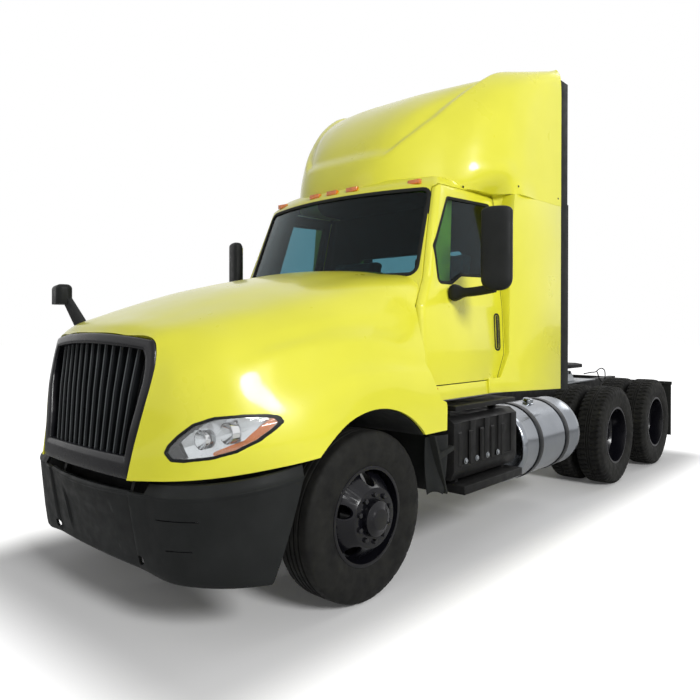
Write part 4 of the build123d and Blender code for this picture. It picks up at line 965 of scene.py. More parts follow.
PRESSED_HALF = [               # z, half width of the pressed panel
    (2.95, .42), (3.08, .52), (3.20, .62), (3.35, .73), (3.56, .83), (3.75, .90), (3.93, .94),
]
PRESS_DEPTH, CREASE = 0.046, .062      # depth of the pressed panel, width of its crease
FAIRING_SCREWS = ((1.11, 2.775), (1.37, 2.762), (1.84, 2.800), (2.50, 2.800))     # station, z


def fairing_surface(rows=104, columns=209):
    """The fairing's skin, the middle of its front pressed in between two rising creases.

    Press: a depth times a smooth step across the crease times a strength along the height, which
    rises at the panel's foot and fades below the top.  It is taken along the skin's normal.
    """
    sheet = net_surface(both_sides([(x, station, z) for z, x, station in FAIRING_NET]), rows, columns)
    x, z = sheet[..., 0], sheet[..., 2]
    half = np.interp(z, *np.transpose(PRESSED_HALF))
    inside = smoothstep(0, CREASE, half - np.abs(x))
    strength = smoothstep(2.98, 3.12, z) * smoothstep(3.975, 3.85, z)
    sheet = sheet - normals_of(sheet) * (PRESS_DEPTH * inside * strength)[..., None]
    sheet[..., 1] = np.minimum(sheet[..., 1], FAIRING_BACK) + AXLE_Y
    return sheet


def fairing():
    """The roof fairing: a smooth shell over the cab's roof, and the screws along its lower edge."""
    sheet = fairing_surface()
    piece = shell("fairing", sheet, FAIRING_WALL)
    dress(piece, "chassis", "paint", PAINT, "roof_fairing", smooth=radians(40))
    for way in (-1, 1):
        places = []
        for station, z in FAIRING_SCREWS:
            row = sheet[np.argmin(np.abs(sheet[:, 0, 2] - z))]
            half = row[: len(row) // 2]
            spot = half[np.argmin(np.abs(half[:, 1] - station - AXLE_Y))]
            places.append((way * (spot[0] - .001), spot[1], spot[2]))
        heads = bolts("fairing_screws", places, (way, 0, 0), .008, .004)
        dress(heads, "chassis", "strap_metal", STRAP)


fairing()


# ---------------------------------------------------------------- cab, doors and glass
SEAL_PROFILE = [(0, .012), (0, 0), (.15, -.0028), (.4, -.004), (.7, -.0032), (1, 0), (1, .012)]
SCREEN = [(.935, 2.030), (.885, 2.690), (-.885, 2.690), (-.935, 2.030)]     # (x, z)
WINDOW = [                     # (station, z)
    (.868, 1.975), (.868, 2.240), (1.106, 2.632), (1.700, 2.655), (1.630, 2.060), (1.160, 2.045),
    (1.020, 1.975),
]


def window_seals():
    """Rubber seals round the windscreen and both side windows, lips on either side of a crown."""
    outline = even(rounded(SCREEN, .060, 8), 220)
    ring = band(
        "screen_seal", offset(outline, .012), offset(outline, -.016), SEAL_PROFILE, on_front(cab_front)
    )
    dress(ring, "chassis", "seal_rubber", SEAL)
    outline = even(rounded(WINDOW, .030, 6), 200)
    for way, side in SIDES:
        ring = band(
            "window_seal_" + side, offset(outline, .010), offset(outline, -.014), SEAL_PROFILE,
            on_side(cab_side, way),
        )
        dress(ring, "door_" + side, "seal_rubber", SEAL)


def cab():
    """The cab's shell, side panels, gap seals and doors with rounded edges, and the window seals."""
    eased("cab_shell", "chassis", "paint", PAINT, .004)
    eased("side_extenders", "chassis", "paint", PAINT, .004)
    eased("gap_seals", "chassis", "seal_rubber", SEAL, .005)
    for _, side in SIDES:
        eased("door_" + side, "door_" + side, "paint", PAINT, .0035)
    window_seals()


cab()


# ---------------------------------------------------------------- bumper
BUMPER_HALF = 1.194
RIDGE_Z, RIDGE_RISE, RIDGE_TOP = .765, .1512, .052
CENTRE_HALF = .480             # half width of the set-back middle panel
BUMPER_ROWS = [                # share of the ridge's plan, moved out by, what z counts from, rise
    (0, .045, "foot", 0), (0, .010, "foot", .002), (0, .002, "foot", .014), (.06, 0, "foot", .04),
    (.30, -.002, "mix", .30), (.60, -.001, "mix", .60), (.86, 0, "mix", .86),
    (.955, .001, "mix", .955), (1, -.0005, "ridge", -.008), (1, .001, "ridge", 0),
    (1, .006, "ridge", .003), (1, .018, "ridge", .022), (1, .030, "ridge", .042),
    (1, .036, "ridge", .050), (1, .044, "ridge", RIDGE_TOP), (1, .062, "ridge", RIDGE_TOP - .002),
]
BUMPER_REAR = [                # (station, z) of what is cut away behind
    (-.745, .2), (-.745, .325), (-.552, .94), (-.552, 1.2), (.2, 1.2), (.2, .2),
]
BUMPER_SLOTS = ((.655, .68, .92), (.500, .73, .88))        # z, x from and to


def bumper_plan(side, corner, front, middle, count=90):
    """Half of the bumper's plan: along the side, round the corner, over to the middle."""
    flat = np.linspace(-.30, side[1], 12)[:-1]
    first = np.column_stack([np.full(len(flat), side[0]), flat])
    bend = arc_through(side, corner, front, count // 2)
    rest = arc_through(front, (0, middle), (-front[0], front[1]), count)[: count // 2]
    return np.concatenate([first, bend[:-1], rest[:-1], [(0, middle)]])


def bumper_rows():
    """The bumper's rows: each the lower or the upper plan, or a mix of both, moved out and up."""
    low = bumper_plan((BUMPER_HALF, -.56), (1.060, -.880), (.620, -1.105), -1.130)
    ridge = bumper_plan((BUMPER_HALF, -.56), (1.075, -.905), (.620, -1.158), -1.238)
    grid = []
    for share, inward, kind, rise in BUMPER_ROWS:
        plan = low + (ridge - low) * share
        plan = np.concatenate([plan, plan[-2::-1] * (-1, 1)])
        normal = np.gradient(plan, axis=0)
        normal = np.column_stack([normal[:, 1], -normal[:, 0]])
        normal /= np.linalg.norm(normal, axis=1, keepdims=True)
        x, s = (plan + normal * inward).T
        out = np.abs(x)
        foot = .325 + .024 * smoothstep(.78, .45, out)
        crest = RIDGE_Z + RIDGE_RISE * (s + 1.24)
        z = {"foot": foot + rise, "mix": foot + (crest - foot) * rise, "ridge": crest + rise}[kind]
        back = .014 * smoothstep(CENTRE_HALF + .006, CENTRE_HALF - .006, out) * (share > 0)
        recess = smoothstep(.30, .29, out) * smoothstep(.46, .47, z) * smoothstep(.69, .68, z)
        grid.append(np.column_stack([x, s + back + .012 * recess + AXLE_Y, z]))
    return np.array(grid)


def bumper():
    """A bumper moulding: a leaning band above a ridge, and a skirt tucked in below."""
    grid = bumper_rows()
    knots = np.arange(len(grid))
    fine = np.unique(np.concatenate([knots, np.linspace(3, 8, 41)]))
    flat = grid.reshape(len(grid), -1)
    grid = np.array([[np.interp(k, knots, column) for column in flat.T] for k in fine])
    piece = shell("bumper_moulding", grid.reshape(len(fine), -1, 3), .016)
    middle = rounded([(.600, .778), (.625, 1.2), (-.625, 1.2), (-.600, .778)], .012)
    tools = [prism("rear", BUMPER_REAR, "X", -1.4, 1.4), prism("middle", middle, "Y", -1.5, -.9)]
    turn = np.linspace(0, 2 * pi, 28, endpoint=False)
    for way in (-1, 1):
        hole = np.column_stack([way * .505 + .032 * np.cos(turn), .405 + .026 * np.sin(turn)])
        tools.append(prism("tow", hole, "Y", -1.5, -.95))
        for z, x0, x1 in BUMPER_SLOTS:
            slot = [(way * x0, z), (way * x1, z + .012), (way * x1, z + .017), (way * x0, z + .006)]
            tools.append(prism("slot", slot, "Y", -1.5, -1.0))
    carve(piece, *tools, solver="MANIFOLD")
    dress(piece, "chassis", "trim_plastic", TRIM, "bumper", smooth=radians(30))


bumper()


# ---------------------------------------------------------------- grille
SURROUND_EDGE = [              # half width of the surround's outer edge at each height
    (.523, .846), (.535, .950), (.550, 1.05), (.574, 1.15), (.596, 1.25), (.611, 1.35), (.614, 1.45),
    (.603, 1.52),
]
GRILLE_TOP = (.575, 1.578, 1.615)   # half width at the corner, its height, and the crown's height
FRAME_SIDE, FRAME_TOP, FRAME_FOOT = .064, .062, .118       # widths of the raised frame
FRAME_PROFILE = [              # (share across the frame, depth)
    (0, .055), (0, .006), (.02, -.002), (.10, -.009), (.30, -.012), (.70, -.012), (.90, -.009),
    (.98, -.002), (1, .008), (1.02, .055),
]
BARS = 13
BAR_ENDS = (.93, 1.575)        # heights between which the bars stand
BAR_FOOT, BAR_TOP = .452, .525         # half the spread of the bars, low and high


def surround_outline(grow=0.0):
    """The grille surround's outer edge, from the foot up one side, over the crown and down."""
    side = np.array(SURROUND_EDGE)
    half, corner, crown = GRILLE_TOP
    x = np.linspace(half, -half, 30)
    top = np.column_stack([x, corner + (crown - corner) * (1 - (x / half) ** 2)])
    outline = np.concatenate([side, top, side[::-1] * (-1, 1)])
    return offset(outline, grow) if grow else outline


def bar(x, z, wide, front, back, place):
    """An upright bar: a section with two bevelled corners carried along (x, z), closed at its ends."""
    section = [
        (-wide, back), (-wide, front + .006), (-wide * .5, front), (wide * .5, front),
        (wide, front + .006), (wide, back),
    ]
    rows = np.array([place(np.column_stack([x + a, z]), depth) for a, depth in section]).swapaxes(0, 1)
    rings, count = rows.shape[:2]
    faces = grid_faces(rings, count, False, True).tolist()
    faces += [list(range(count))[::-1], [(rings - 1) * count + k for k in range(count)]]
    return solid("bar", rows, faces)


def grille():
    """The grille: a raised frame with a deep foot, upright bars with bright front edges, a mesh."""
    half, _, crown = GRILLE_TOP
    foot = SURROUND_EDGE[0][1]
    outer = even(surround_outline(), 260)
    inner = outer.copy()
    inner[:, 0] = outer[:, 0] * ((half - FRAME_SIDE + .035) / (half + .035))
    opening = crown - FRAME_TOP - foot - FRAME_FOOT
    inner[:, 1] = foot + FRAME_FOOT + (outer[:, 1] - foot) * opening / (crown - foot)
    place = on_front(nose)
    ring = band("grille_frame", outer, inner, FRAME_PROFILE, place)
    dress(ring, "hood", "grille_plastic", GLOSS, "grille_surround", smooth=radians(50))
    z = BAR_ENDS[0] + (BAR_ENDS[1] - BAR_ENDS[0]) * np.linspace(0, 1, 30)
    spread_half = BAR_FOOT + (BAR_TOP - BAR_FOOT) * ((z - .95) / (1.55 - .95))
    for name, material, wide, front, back, *nodes in (
        ("grille_blades", GRILLE, .013, .020, .060, "grille_bars"),
        ("grille_edges", EDGE, .0032, .0165, .0215),
    ):
        made = [
            bar(number * spread_half, z, wide, front, back, place)
            for number in np.linspace(-1, 1, BARS + 2)[1:-1]
        ]
        dress(join(name, made), "hood", "grille_plastic", material, *nodes)
    behind = plate("grille_mesh", even(inner * (1.02, 1), 120), place, .075, .004, rings=3)
    dress(behind, "hood", "grille_plastic", GRILLE)


# ---------------------------------------------------------------- headlamps
LAMP_TIP = [(.728, 1.003), (.762, .970), (.803, .972), (.777, 1.015), (.759, 1.048)]
LAMP_STRIP = [
    (.925, .990), (.999, 1.010), (1.060, 1.064), (1.092, 1.122), (1.102, 1.155), (1.078, 1.180),
    (1.062, 1.126), (1.030, 1.062), (.981, 1.024), (.928, 1.012),
]
LAMP_RIM_PROFILE = [(0, .045), (0, .002), (.25, -.003), (.75, -.003), (1, .006), (1, .060)]
REFLECTORS = ((.968, 1.105, .052), (.872, 1.072, .046))    # x, z, radius


def hood_front_finder():
    """Station of the hood's nose at (x, z): the mean of its grid's six nearest points.

    Each counts by one over its squared distance.
    """
    grid = hood_grid(300, 400)
    half = grid[:, : grid.shape[1] // 2].reshape(-1, 3)
    half = half[(half[:, 2] < 1.5) & (half[:, 1] - AXLE_Y < -.3)]

    def find(x, z):
        x, z = np.abs(np.atleast_1d(x))[:, None], np.atleast_1d(z)[:, None]
        gap = (half[:, 0] - x) ** 2 + (half[:, 2] - z) ** 2
        near = np.argpartition(gap, 6, axis=1)[:, :6]
        weight = 1 / (np.take_along_axis(gap, near, axis=1) + 1e-7)
        return np.sum(half[near, 1] * weight, axis=1) / weight.sum(axis=1) - AXLE_Y
    return find


def reflector(radius):
    """A bowl's profile: 40 mm times one less the squared share of its radius, and a rolled rim."""
    bowl = [(.040 * (1 - s**2), radius * s) for s in np.linspace(0, 1, 14)]
    return [*bowl, (0, radius * 1.08), (.044, radius * 1.06), (.046, 0)]


def headlamps():
    """Each lamp: a dark rim, a bright bowl with two reflectors, an amber strip and a clear cover."""
    place = on_front(hood_front_finder())
    shape = even(rounded(LAMP_OUTLINE, .016, 5), 140)
    tip = even(rounded(LAMP_TIP, .008, 3), 40)
    strip = even(rounded(LAMP_STRIP, .008, 3), 90)
    for way, side in SIDES:
        outline = shape * (way, 1)
        rim = band(
            "lamp_rim_" + side, offset(outline, .004), offset(outline, -.014), LAMP_RIM_PROFILE, place
        )
        dress(rim, "hood", "grille_plastic", GRILLE, "headlamps")
        bowl = plate("lamp_bowl_" + side, offset(outline, -.010), place, .052, .004, rings=8, dome=-.02)
        dress(bowl, "hood", "clear_lens", CHROME)
        cover = plate("lamp_cover_" + side, offset(outline, -.013), place, .004, .003, rings=10, dome=.004)
        dress(cover, "hood", "clear_lens", CLEAR)
        dark = plate("lamp_tip_" + side, tip * (way, 1), place, .030, .004, rings=4)
        dress(dark, "hood", "grille_plastic", GRILLE)
        amber = plate("lamp_amber_" + side, strip * (way, 1), place, .012, .006, rings=5, dome=.003)
        dress(amber, "hood", "amber_lens", AMBER)
        for x, z, radius in REFLECTORS:
            spot = place(np.array([[way * x, z]]), .012)[0]
            bowl = turned("reflector_" + side, reflector(radius), spot, "Y", 48)
            dress(bowl, "hood", "clear_lens", CHROME)


grille()
headlamps()
hood()


# ---------------------------------------------------------------- tyres and wheels
TYRE_SIDE = [                  # (across, radius) from the bead up to the shoulder
    (.112, .289), (.119, .301), (.131, .335), (.139, .385), (.1398, .420), (.136, .455), (.128, .482),
    (.121, .499), (.112, .5085),
]
TYRE_LINER = [(.096, .500), (.110, .470), (.122, .420), (.112, .350), (.098, .300)]
STEER_TREAD = [                # steps across half the tread, closer at each groove's edges
    .104, .098, .092, .084, .074, .0625, .0595, .055, .0505, .0475, .040, .032, .0255, .0225, .018, .0135,
    .0105, .005,
]
DRIVE_TREAD = [.104, .098, .088, .078, .068, .058, .048, .038, .030, .026, .021, .015, .0115, .0085, .004]
TYRE_R = .515
SIDE_STEPS = 17                # points up each side of a tyre
SIDE_RINGS = ((.452, .004), (.345, .004), (.312, .003))    # radius and width of the raised rings
STEER_X, OUTER_X, INNER_X = 1.018, 1.064, .729
STEER_FACE = STEER_X + .335 / 2 - .013         # where the nuts stand
DRIVE_FACE = (OUTER_X + INNER_X) / 2 + .013
DRIVE_HUB_FACE = 1.045
DRIVE_STATIONS = (3.980, 5.300)
LUGS = 54                      # lugs round a drive tyre


def tyre_section(tread):
    """A closed section: up one side, over the crown, down the other side and back inside.

    Radius over the tread: the tyre's, less a square law that takes 1 mm off near the shoulder and
    an eighth-power law that takes 4.5 mm off at its edge.
    """
    side = np.array(TYRE_SIDE)
    knots = np.concatenate([[0], np.cumsum(np.linalg.norm(np.diff(side, axis=0), axis=1))])
    side = through(side, knots, np.linspace(0, knots[-1], SIDE_STEPS))
    a = np.array(tread)
    crown = np.column_stack([a, TYRE_R - .001 * (a / .096) ** 2 - .0045 * (a / .112) ** 8])
    half = np.concatenate([side, crown])
    liner = np.array(TYRE_LINER)
    return np.concatenate([
        half * (-1, 1), [(0, TYRE_R)], half[::-1], liner[::-1], [(0, .503)], liner * (-1, 1)
    ])


def ribbed(across, radius, turn):
    """Tread depth of a steer tyre: four round grooves, and fine slits over the shoulders."""
    depth = np.zeros_like(across)
    for groove in (.018, .055):
        depth = np.maximum(depth, .013 * smoothstep(.0070, .0040, np.abs(np.abs(across) - groove)))
    slit = smoothstep(.80, .95, np.cos(90 * turn)) * smoothstep(.088, .098, np.abs(across))
    return np.maximum(depth, .004 * slit * smoothstep(.47, .49, radius))


def lugged(across, radius, turn):
    """Tread depth of a drive tyre: slanting gaps between shoulder lugs, and two inner grooves."""
    pitch = LUGS * turn / (2 * pi) + across * 5 + (across < 0) * .5
    gap = smoothstep(.27, .40, np.abs(pitch % 1 - .5))
    depth = .018 * gap * smoothstep(.024, .032, np.abs(across)) * smoothstep(.465, .497, radius)
    groove = .013 * smoothstep(.0060, .0030, np.abs(np.abs(across) - .0115 - .002 * np.cos(LUGS * turn)))
    return np.maximum(depth, groove * (radius > .5))


def tyre(name, middle, station, tread, depth, count):
    """A tyre about the X axis: section radius less tread depth, with raised rings on each side.

    A ring stands out of the side by a bell curve of the radius, and so does a shallow hollow in.
    """
    section = tyre_section(tread)
    turn = np.linspace(0, 2 * pi, count, endpoint=False)
    across, angle = np.meshgrid(section[:, 0], turn, indexing="ij")
    radius = np.repeat(section[:, 1:], count, 1)
    outside = np.arange(len(section)) < 2 * (SIDE_STEPS + len(tread)) + 1
    outside = np.repeat(outside[:, None], count, 1)
    cut = np.where(outside, depth(across, radius, angle), 0)
    ring = sum(np.exp(-((radius - r) / width) ** 2) for r, width in SIDE_RINGS)
    hollow = np.exp(-((radius - .400) / .022) ** 2)
    out = np.where(outside & (radius < .48), .0018 * ring - .0022 * hollow, 0)
    across = across + np.sign(across) * out
    radius = radius - cut
    points = np.stack(
        [across + middle, AXLE_Y + station + radius * np.cos(angle), WHEEL_Z + radius * np.sin(angle)], -1
    )
    return solid(name, points, grid_faces(len(section), count, True, True))


def nuts(face, station, way, circle, count, radius, height):
    """Nuts in a ring on a wheel's face."""
    turn = (np.arange(count) + .5) * 2 * pi / count
    places = [
        (way * face, AXLE_Y + station + circle * np.cos(t), WHEEL_Z + circle * np.sin(t)) for t in turn
    ]
    return bolts("nuts", places, (way, 0, 0), radius, height)


def wheels():
    """The front wheels, and pairs of drive wheels on two axles, with their nuts."""
    tread_angle = radians(28)
    for way, side in SIDES:
        body = "front_wheel_" + side
        piece = tyre("steer_tyre_" + side, way * STEER_X, 0, STEER_TREAD, ribbed, 216)
        dress(piece, body, "tyre_rubber", RUBBER, "tyre_front_" + side, smooth=tread_angle)
        eased("rim_front_" + side, body, "wheel_paint", WHEEL, .0035)
        rings = [
            nuts(STEER_FACE, 0, way, .140, 10, .0165, .030),
            nuts(STEER_FACE + .030, 0, way, .090, 8, .008, .012),
        ]
        dress(join("steer_nuts_" + side, rings), body, "wheel_paint", NUT)
        for number, station in enumerate(DRIVE_STATIONS, 1):
            body = f"drive_wheel_{number}_{side}"
            pair = [
                tyre("drive_tyre", way * x, station, DRIVE_TREAD, lugged, LUGS * 4)
                for x in (OUTER_X, INNER_X)
            ]
            piece = join(f"drive_tyres_{number}_{side}", pair)
            dress(piece, body, "tyre_rubber", RUBBER, f"tyres_drive_{number}_{side}", smooth=tread_angle)
            eased(f"rims_drive_{number}_{side}", body, "wheel_paint", WHEEL, .0035)
            rings = [
                nuts(DRIVE_FACE, station, way, .140, 10, .0165, .030),
                nuts(DRIVE_HUB_FACE, station, way, .0915, 8, .0065, .010),
            ]
            dress(join(f"drive_nuts_{number}_{side}", rings), body, "wheel_paint", NUT)


wheels()


# ---------------------------------------------------------------- tanks, straps and steps
TANK_X, TANK_Z, TANK_R = .872, .660, .325
CAP_STATION, CAP_LEAN = 2.44, radians(11)
TANK_SHAPE = [                 # (station, radius) from one end's middle to the other's
    (1.900, 0), (1.899, .08), (1.895, .18), (1.888, .255), (1.882, .287), (1.880, .299), (1.8815, .310),
    (1.887, .3185), (1.896, .3235), (1.908, .325), (1.93, .325), (1.9345, .3262), (1.939, .325),
    (2.15, .325), (2.44, .325), (2.73, .325), (2.941, .325), (2.9455, .3262), (2.950, .325), (2.972, .325),
    (2.984, .3235), (2.993, .3185), (2.9985, .310), (3.000, .299), (2.998, .287), (2.992, .255),
    (2.985, .18), (2.981, .08), (2.980, 0),
]


def cap_profile():
    """A tank's cap: a flange, a neck and a domed top, sunk 12 mm into the barrel."""
    crown = [
        (.040 + .010 * np.sin(t * pi / 2), .046 * np.cos(t * pi / 2) ** .6)
        for t in np.linspace(0, 1, 6)[1:-1]
    ]
    cap = [(0, 0), (0, .058), (.010, .058), (.014, .052), (.016, .047), (.040, .046), *crown, (.051, 0)]
    return [(along - .012, radius) for along, radius in cap]


def tanks():
    """Each tank is turned about its length; the cap is turned about the radius it stands on."""
    pieces = []
    for way in (1, -1):
        pieces.append(turned("barrel", TANK_SHAPE, (way * TANK_X, AXLE_Y, TANK_Z), "Y", 128))
        cap = turned("cap", cap_profile(), (0, 0, 0), "Z", 40)
        lean = Matrix.Rotation(way * CAP_LEAN, 4, "Y")
        place = Matrix.Translation((way * TANK_X, AXLE_Y + CAP_STATION, TANK_Z))
        cap.data.transform(place @ lean @ Matrix.Translation((0, 0, TANK_R)))
        pieces.append(cap)
    piece = join("fuel_tanks_finished", pieces)
    dress(piece, "chassis", "tank_metal", TANK, "fuel_tanks", smooth=radians(40))
    eased("tank_straps", "chassis", "strap_metal", STRAP, .002)


tanks()


STEP_FACE = 1.188
RIB_STATIONS = (.925, 1.075, 1.225, 1.375, 1.525)
BOLT_STATIONS = (1.00, 1.15, 1.30, 1.45)


def steps():
    """The step boxes with upright ribs pressed out 10 mm of their faces, and bolts between them."""
    eased("step_boxes", "chassis", "frame_paint", CHASSIS, .004)
    for way, side in SIDES:
        ribs = []
        for s in RIB_STATIONS:
            section = [(s - .026, 0), (s - .018, .010), (s + .018, .010), (s + .026, 0)]
            grid = np.array([
                [
                    (way * (STEP_FACE - .003 + depth * reach), AXLE_Y + station, z)
                    for station, depth in section
                ]
                for z, reach in ((.665, 0), (.675, 1), (.905, 1), (.915, 0))
            ])
            ribs.append(shell("rib", grid, .004, -way))
        piece = join("step_ribs_" + side, ribs)
        dress(piece, "chassis", "frame_paint", CHASSIS, smooth=radians(25))
        places = [(way * (STEP_FACE + .001), AXLE_Y + s, .700) for s in BOLT_STATIONS]
        heads = bolts("step_bolts_" + side, places, (way, 0, 0), .015, .012)
        dress(heads, "chassis", "base_metal", BASE)


steps()


# ---------------------------------------------------------------- small pieces on the body
ROOM = [                       # places in the cab (x, station, z) from which its faces are seen
    (0, 1.30, 1.95), (.45, 1.25, 2.35), (-.45, 1.25, 2.35), (0, 1.55, 1.45), (.6, 1.3, 1.5),
    (-.6, 1.3, 1.5),
]
HANDLE_DISH = [(1.563, 1.477), (1.566, 1.762), (1.640, 1.762), (1.637, 1.477)]      # (station, z)
HANDLE_BAR = [(1.588, 1.490), (1.591, 1.749), (1.616, 1.749), (1.613, 1.490)]
HANDLE_RIM = [(0, .006), (0, -.003), (.3, -.005), (.7, -.005), (1, -.002), (1, .010)]
MIRROR_X, MIRROR_S, MIRROR_Z = 1.450, .972, 2.195
MIRROR_HALF = (.1075, .046, .290)
MIRROR_TOE = radians(20)
DOOR_REAR = 1.752              # station of the doors' rear edges
PANEL_X = 1.151                # half width at the front edge of the side panels
HANDLE_PATH = [                # (x, station, z)
    (.430, 4.94, 1.085), (.455, 5.10, 1.095), (.462, 5.26, 1.100), (.466, 5.33, 1.125), (.468, 5.45, 1.130),
    (.466, 5.54, 1.090), (.462, 5.55, .990), (.458, 5.47, .955), (.456, 5.40, .985), (.458, 5.30, 1.090),
]


def in_sight(face, trees, places):
    """Whether a straight line from a face to one of the places meets nothing."""
    start = face.calc_center_median() + face.normal * .004
    for place in places:
        sight = place - start
        if sight.dot(face.normal) > 0 and all(
            tree.ray_cast(start, sight.normalized(), sight.length)[0] is None for tree in trees
        ):
            return True
    return False


def lining():
    """A dark lining: the faces of the cab and the doors that are in sight of the room, 2 mm inward."""
    bodies = {"cab_shell": "chassis", "door_left": "door_left", "door_right": "door_right"}
    copies = {node: merged_copy(node, node + "_lining") for node in bodies}
    trees = [
        BVHTree.FromPolygons(
            [v.co.copy() for v in piece.data.vertices], [list(p.vertices) for p in piece.data.polygons]
        )
        for piece in copies.values()
    ]
    places = [Vector((x, AXLE_Y + s, z)) for x, s, z in ROOM]
    for node, piece in copies.items():
        with opened(piece.data) as work:
            work.normal_update()
            hidden = [face for face in work.faces if not in_sight(face, trees, places)]
            bmesh.ops.delete(work, geom=hidden, context="FACES")
            for vert in work.verts:
                vert.co += vert.normal * .002
        dress(piece, bodies[node], "cabin_plastic", CABIN)


lining()


def handles():
    """A pull handle on each door: an upright dish with a bar standing in it."""
    outline = even(rounded(HANDLE_DISH, .030, 5), 110)
    bar_outline = even(rounded(HANDLE_BAR, .010, 4), 80)
    for way, side in SIDES:
        place = on_side(cab_side, way)
        rim = band(
            "handle_rim_" + side, offset(outline, .006), offset(outline, -.010), HANDLE_RIM, place
        )
        dress(rim, "door_" + side, "trim_plastic", TRIM)
        dish = plate("handle_dish_" + side, offset(outline, -.008), place, .004, .003, rings=6, dome=-.004)
        dress(dish, "door_" + side, "trim_plastic", TRIM)
        grip = plate("handle_bar_" + side, bar_outline, place, -.004, .010, rings=5, dome=.006)
        dress(grip, "door_" + side, "trim_plastic", GLOSS)


handles()


def super_ellipse(power, count):
    """A unit super-ellipse: cosine and sine, each to the power 2/p with its sign kept."""
    a = np.linspace(0, 2 * pi, count, endpoint=False)
    return [np.sign(f) * np.abs(f) ** (2 / power) for f in (np.cos(a), np.sin(a))]


def mirror_head(middle, half, turn, foot, crown, rows=34, count=72):
    """A mirror's housing: a super-ellipse carried upward, closing over at both ends.

    Its share of full width is (1 - t^2.6)^(1/2.6), t running from 0 to 1 over each end's height.
    """
    z0, z1 = middle[2] - half[2], middle[2] + half[2]
    low = z0 + foot * (1 - np.cos(np.linspace(0, pi / 2, rows // 2)))
    high = z1 - crown * (1 - np.cos(np.linspace(pi / 2, 0, rows // 2)))
    z = np.concatenate([low, high])
    t = np.clip(np.maximum((z0 + foot - z) / foot, (z - z1 + crown) / crown), 0, 1)
    scale = np.maximum(1 - t**2.6, 0) ** (1 / 2.6)
    u, v = super_ellipse(3.2, count)
    u, v = half[0] * u, half[1] * v
    x = middle[0] + np.outer(scale, u * cos(turn) - v * sin(turn))
    y = middle[1] + np.outer(scale, u * sin(turn) + v * cos(turn))
    grid = np.stack([x, y + AXLE_Y, np.repeat(z[:, None], count, 1)], -1)
    return solid("head", grid, grid_faces(rows, count, False, True), 1e-6)


def limb(name, centres, halves, power=3.0, count=36):
    """A limb: super-ellipses in upright planes across its run, growing or shrinking along it."""
    centres, halves = np.asarray(centres, float), np.asarray(halves, float)
    run = np.gradient(centres, axis=0)
    run /= np.linalg.norm(run, axis=1, keepdims=True)
    across = np.cross(run, (0, 0, 1))
    across /= np.linalg.norm(across, axis=1, keepdims=True)
    rise = np.cross(across, run)
    u, v = super_ellipse(power, count)
    grid = centres[:, None] + (
        across[:, None] * (halves[:, :1] * u)[..., None] + rise[:, None] * (halves[:, 1:] * v)[..., None]
    )
    ends = [np.repeat(end[:, None], count, 1) for end in (centres[:1], centres[-1:])]
    grid = np.concatenate([ends[0], grid, ends[1]])
    grid[..., 1] += AXLE_Y
    return solid(name, grid, grid_faces(len(grid), count, False, True), 1e-6)


def mirror_glass(way):
    """The mirror glass's plane: (u, v) turned with the housing and set 1 mm behind its back."""
    toe = MIRROR_TOE * way

    def place(points, depth):
        u, v = np.asarray(points).T
        back = .0465 + .001 - depth
        x = way * MIRROR_X + u * cos(toe) - back * sin(toe)
        y = MIRROR_S + AXLE_Y + u * sin(toe) + back * cos(toe)
        return np.column_stack([x, y, v + MIRROR_Z])
    return place


def door_mirrors():
    """Tall rounded housings, the glass behind, on an arm that swells to a foot on the door."""
    outline = [(-.090, -.255), (.090, -.255), (.090, .262), (-.090, .262)]
    outline = even(rounded(outline, .030, 5), 80)
    for way, side in SIDES:
        middle = (way * MIRROR_X, MIRROR_S, MIRROR_Z)
        head = mirror_head(middle, MIRROR_HALF, MIRROR_TOE * way, .100, .045)
        t = np.linspace(0, 1, 15)[:, None]
        foot = np.array([way * 1.075, .985, 1.905])
        end = np.array([way * 1.430, .975, 1.925])
        line = foot + (end - foot) * t + np.array([0, 0, -.010]) * np.sin(pi * t)
        half = np.column_stack([
            .030 + .022 * smoothstep(.30, .05, t[:, 0]), .032 + .030 * smoothstep(.34, .06, t[:, 0]),
        ])
        half[0] *= .80
        piece = join("door_mirror_shell_" + side, [head, limb("arm", line, half)])
        dress(piece, "door_" + side, "trim_plastic", TRIM, "door_mirror_" + side, smooth=radians(50))
        face = plate("door_mirror_glass_" + side, outline, mirror_glass(way), 0, .006, rings=4)
        dress(face, "door_" + side, "trim_plastic", CHROME)


door_mirrors()


def corner_panels():
    """The skin between each door's rear edge and the side panel, and the fairing's returned edge.

    Across: the upper part of a smooth step from the leaning cab side out to the side panel.
    """
    z = np.concatenate([np.linspace(1.185, 2.60, 30), np.linspace(2.62, 2.775, 10)])
    t = np.linspace(0, 1, 12)
    start = np.array([cab_side(height, DOOR_REAR) for height in z])[:, None]
    x = start + (PANEL_X - start) * smoothstep(-.15, 1, t)
    for way, side in SIDES:
        y = AXLE_Y + (DOOR_REAR + .075 * t)
        grid = np.stack(np.broadcast_arrays(way * x, y, z[:, None]), -1)
        piece = shell("corner_panel_" + side, grid, .004, -way)
        dress(piece, "chassis", "paint", PAINT, smooth=radians(40))
    edge = fairing_surface()[0]
    inner = edge * (.80, 1, 1) + (0, .10, .004)
    inner[:, 1] = np.minimum(inner[:, 1], FAIRING_BACK + AXLE_Y)
    lip = shell("fairing_lip", np.stack([edge + (0, 0, .0035), inner]), .003)
    outward(lip)
    dress(lip, "chassis", "paint", PAINT)


corner_panels()


def tube(name, points, radius, count=10):
    """A round bar carried along a smooth path through the points, closed at both ends."""
    points = np.asarray(points, float)
    knots = np.concatenate([[0], np.cumsum(np.linalg.norm(np.diff(points, axis=0), axis=1))])
    line = through(points, knots, np.linspace(0, knots[-1], len(points) * 8))
    return limb(name, line, np.full((len(line), 2), radius), 2.0, count)


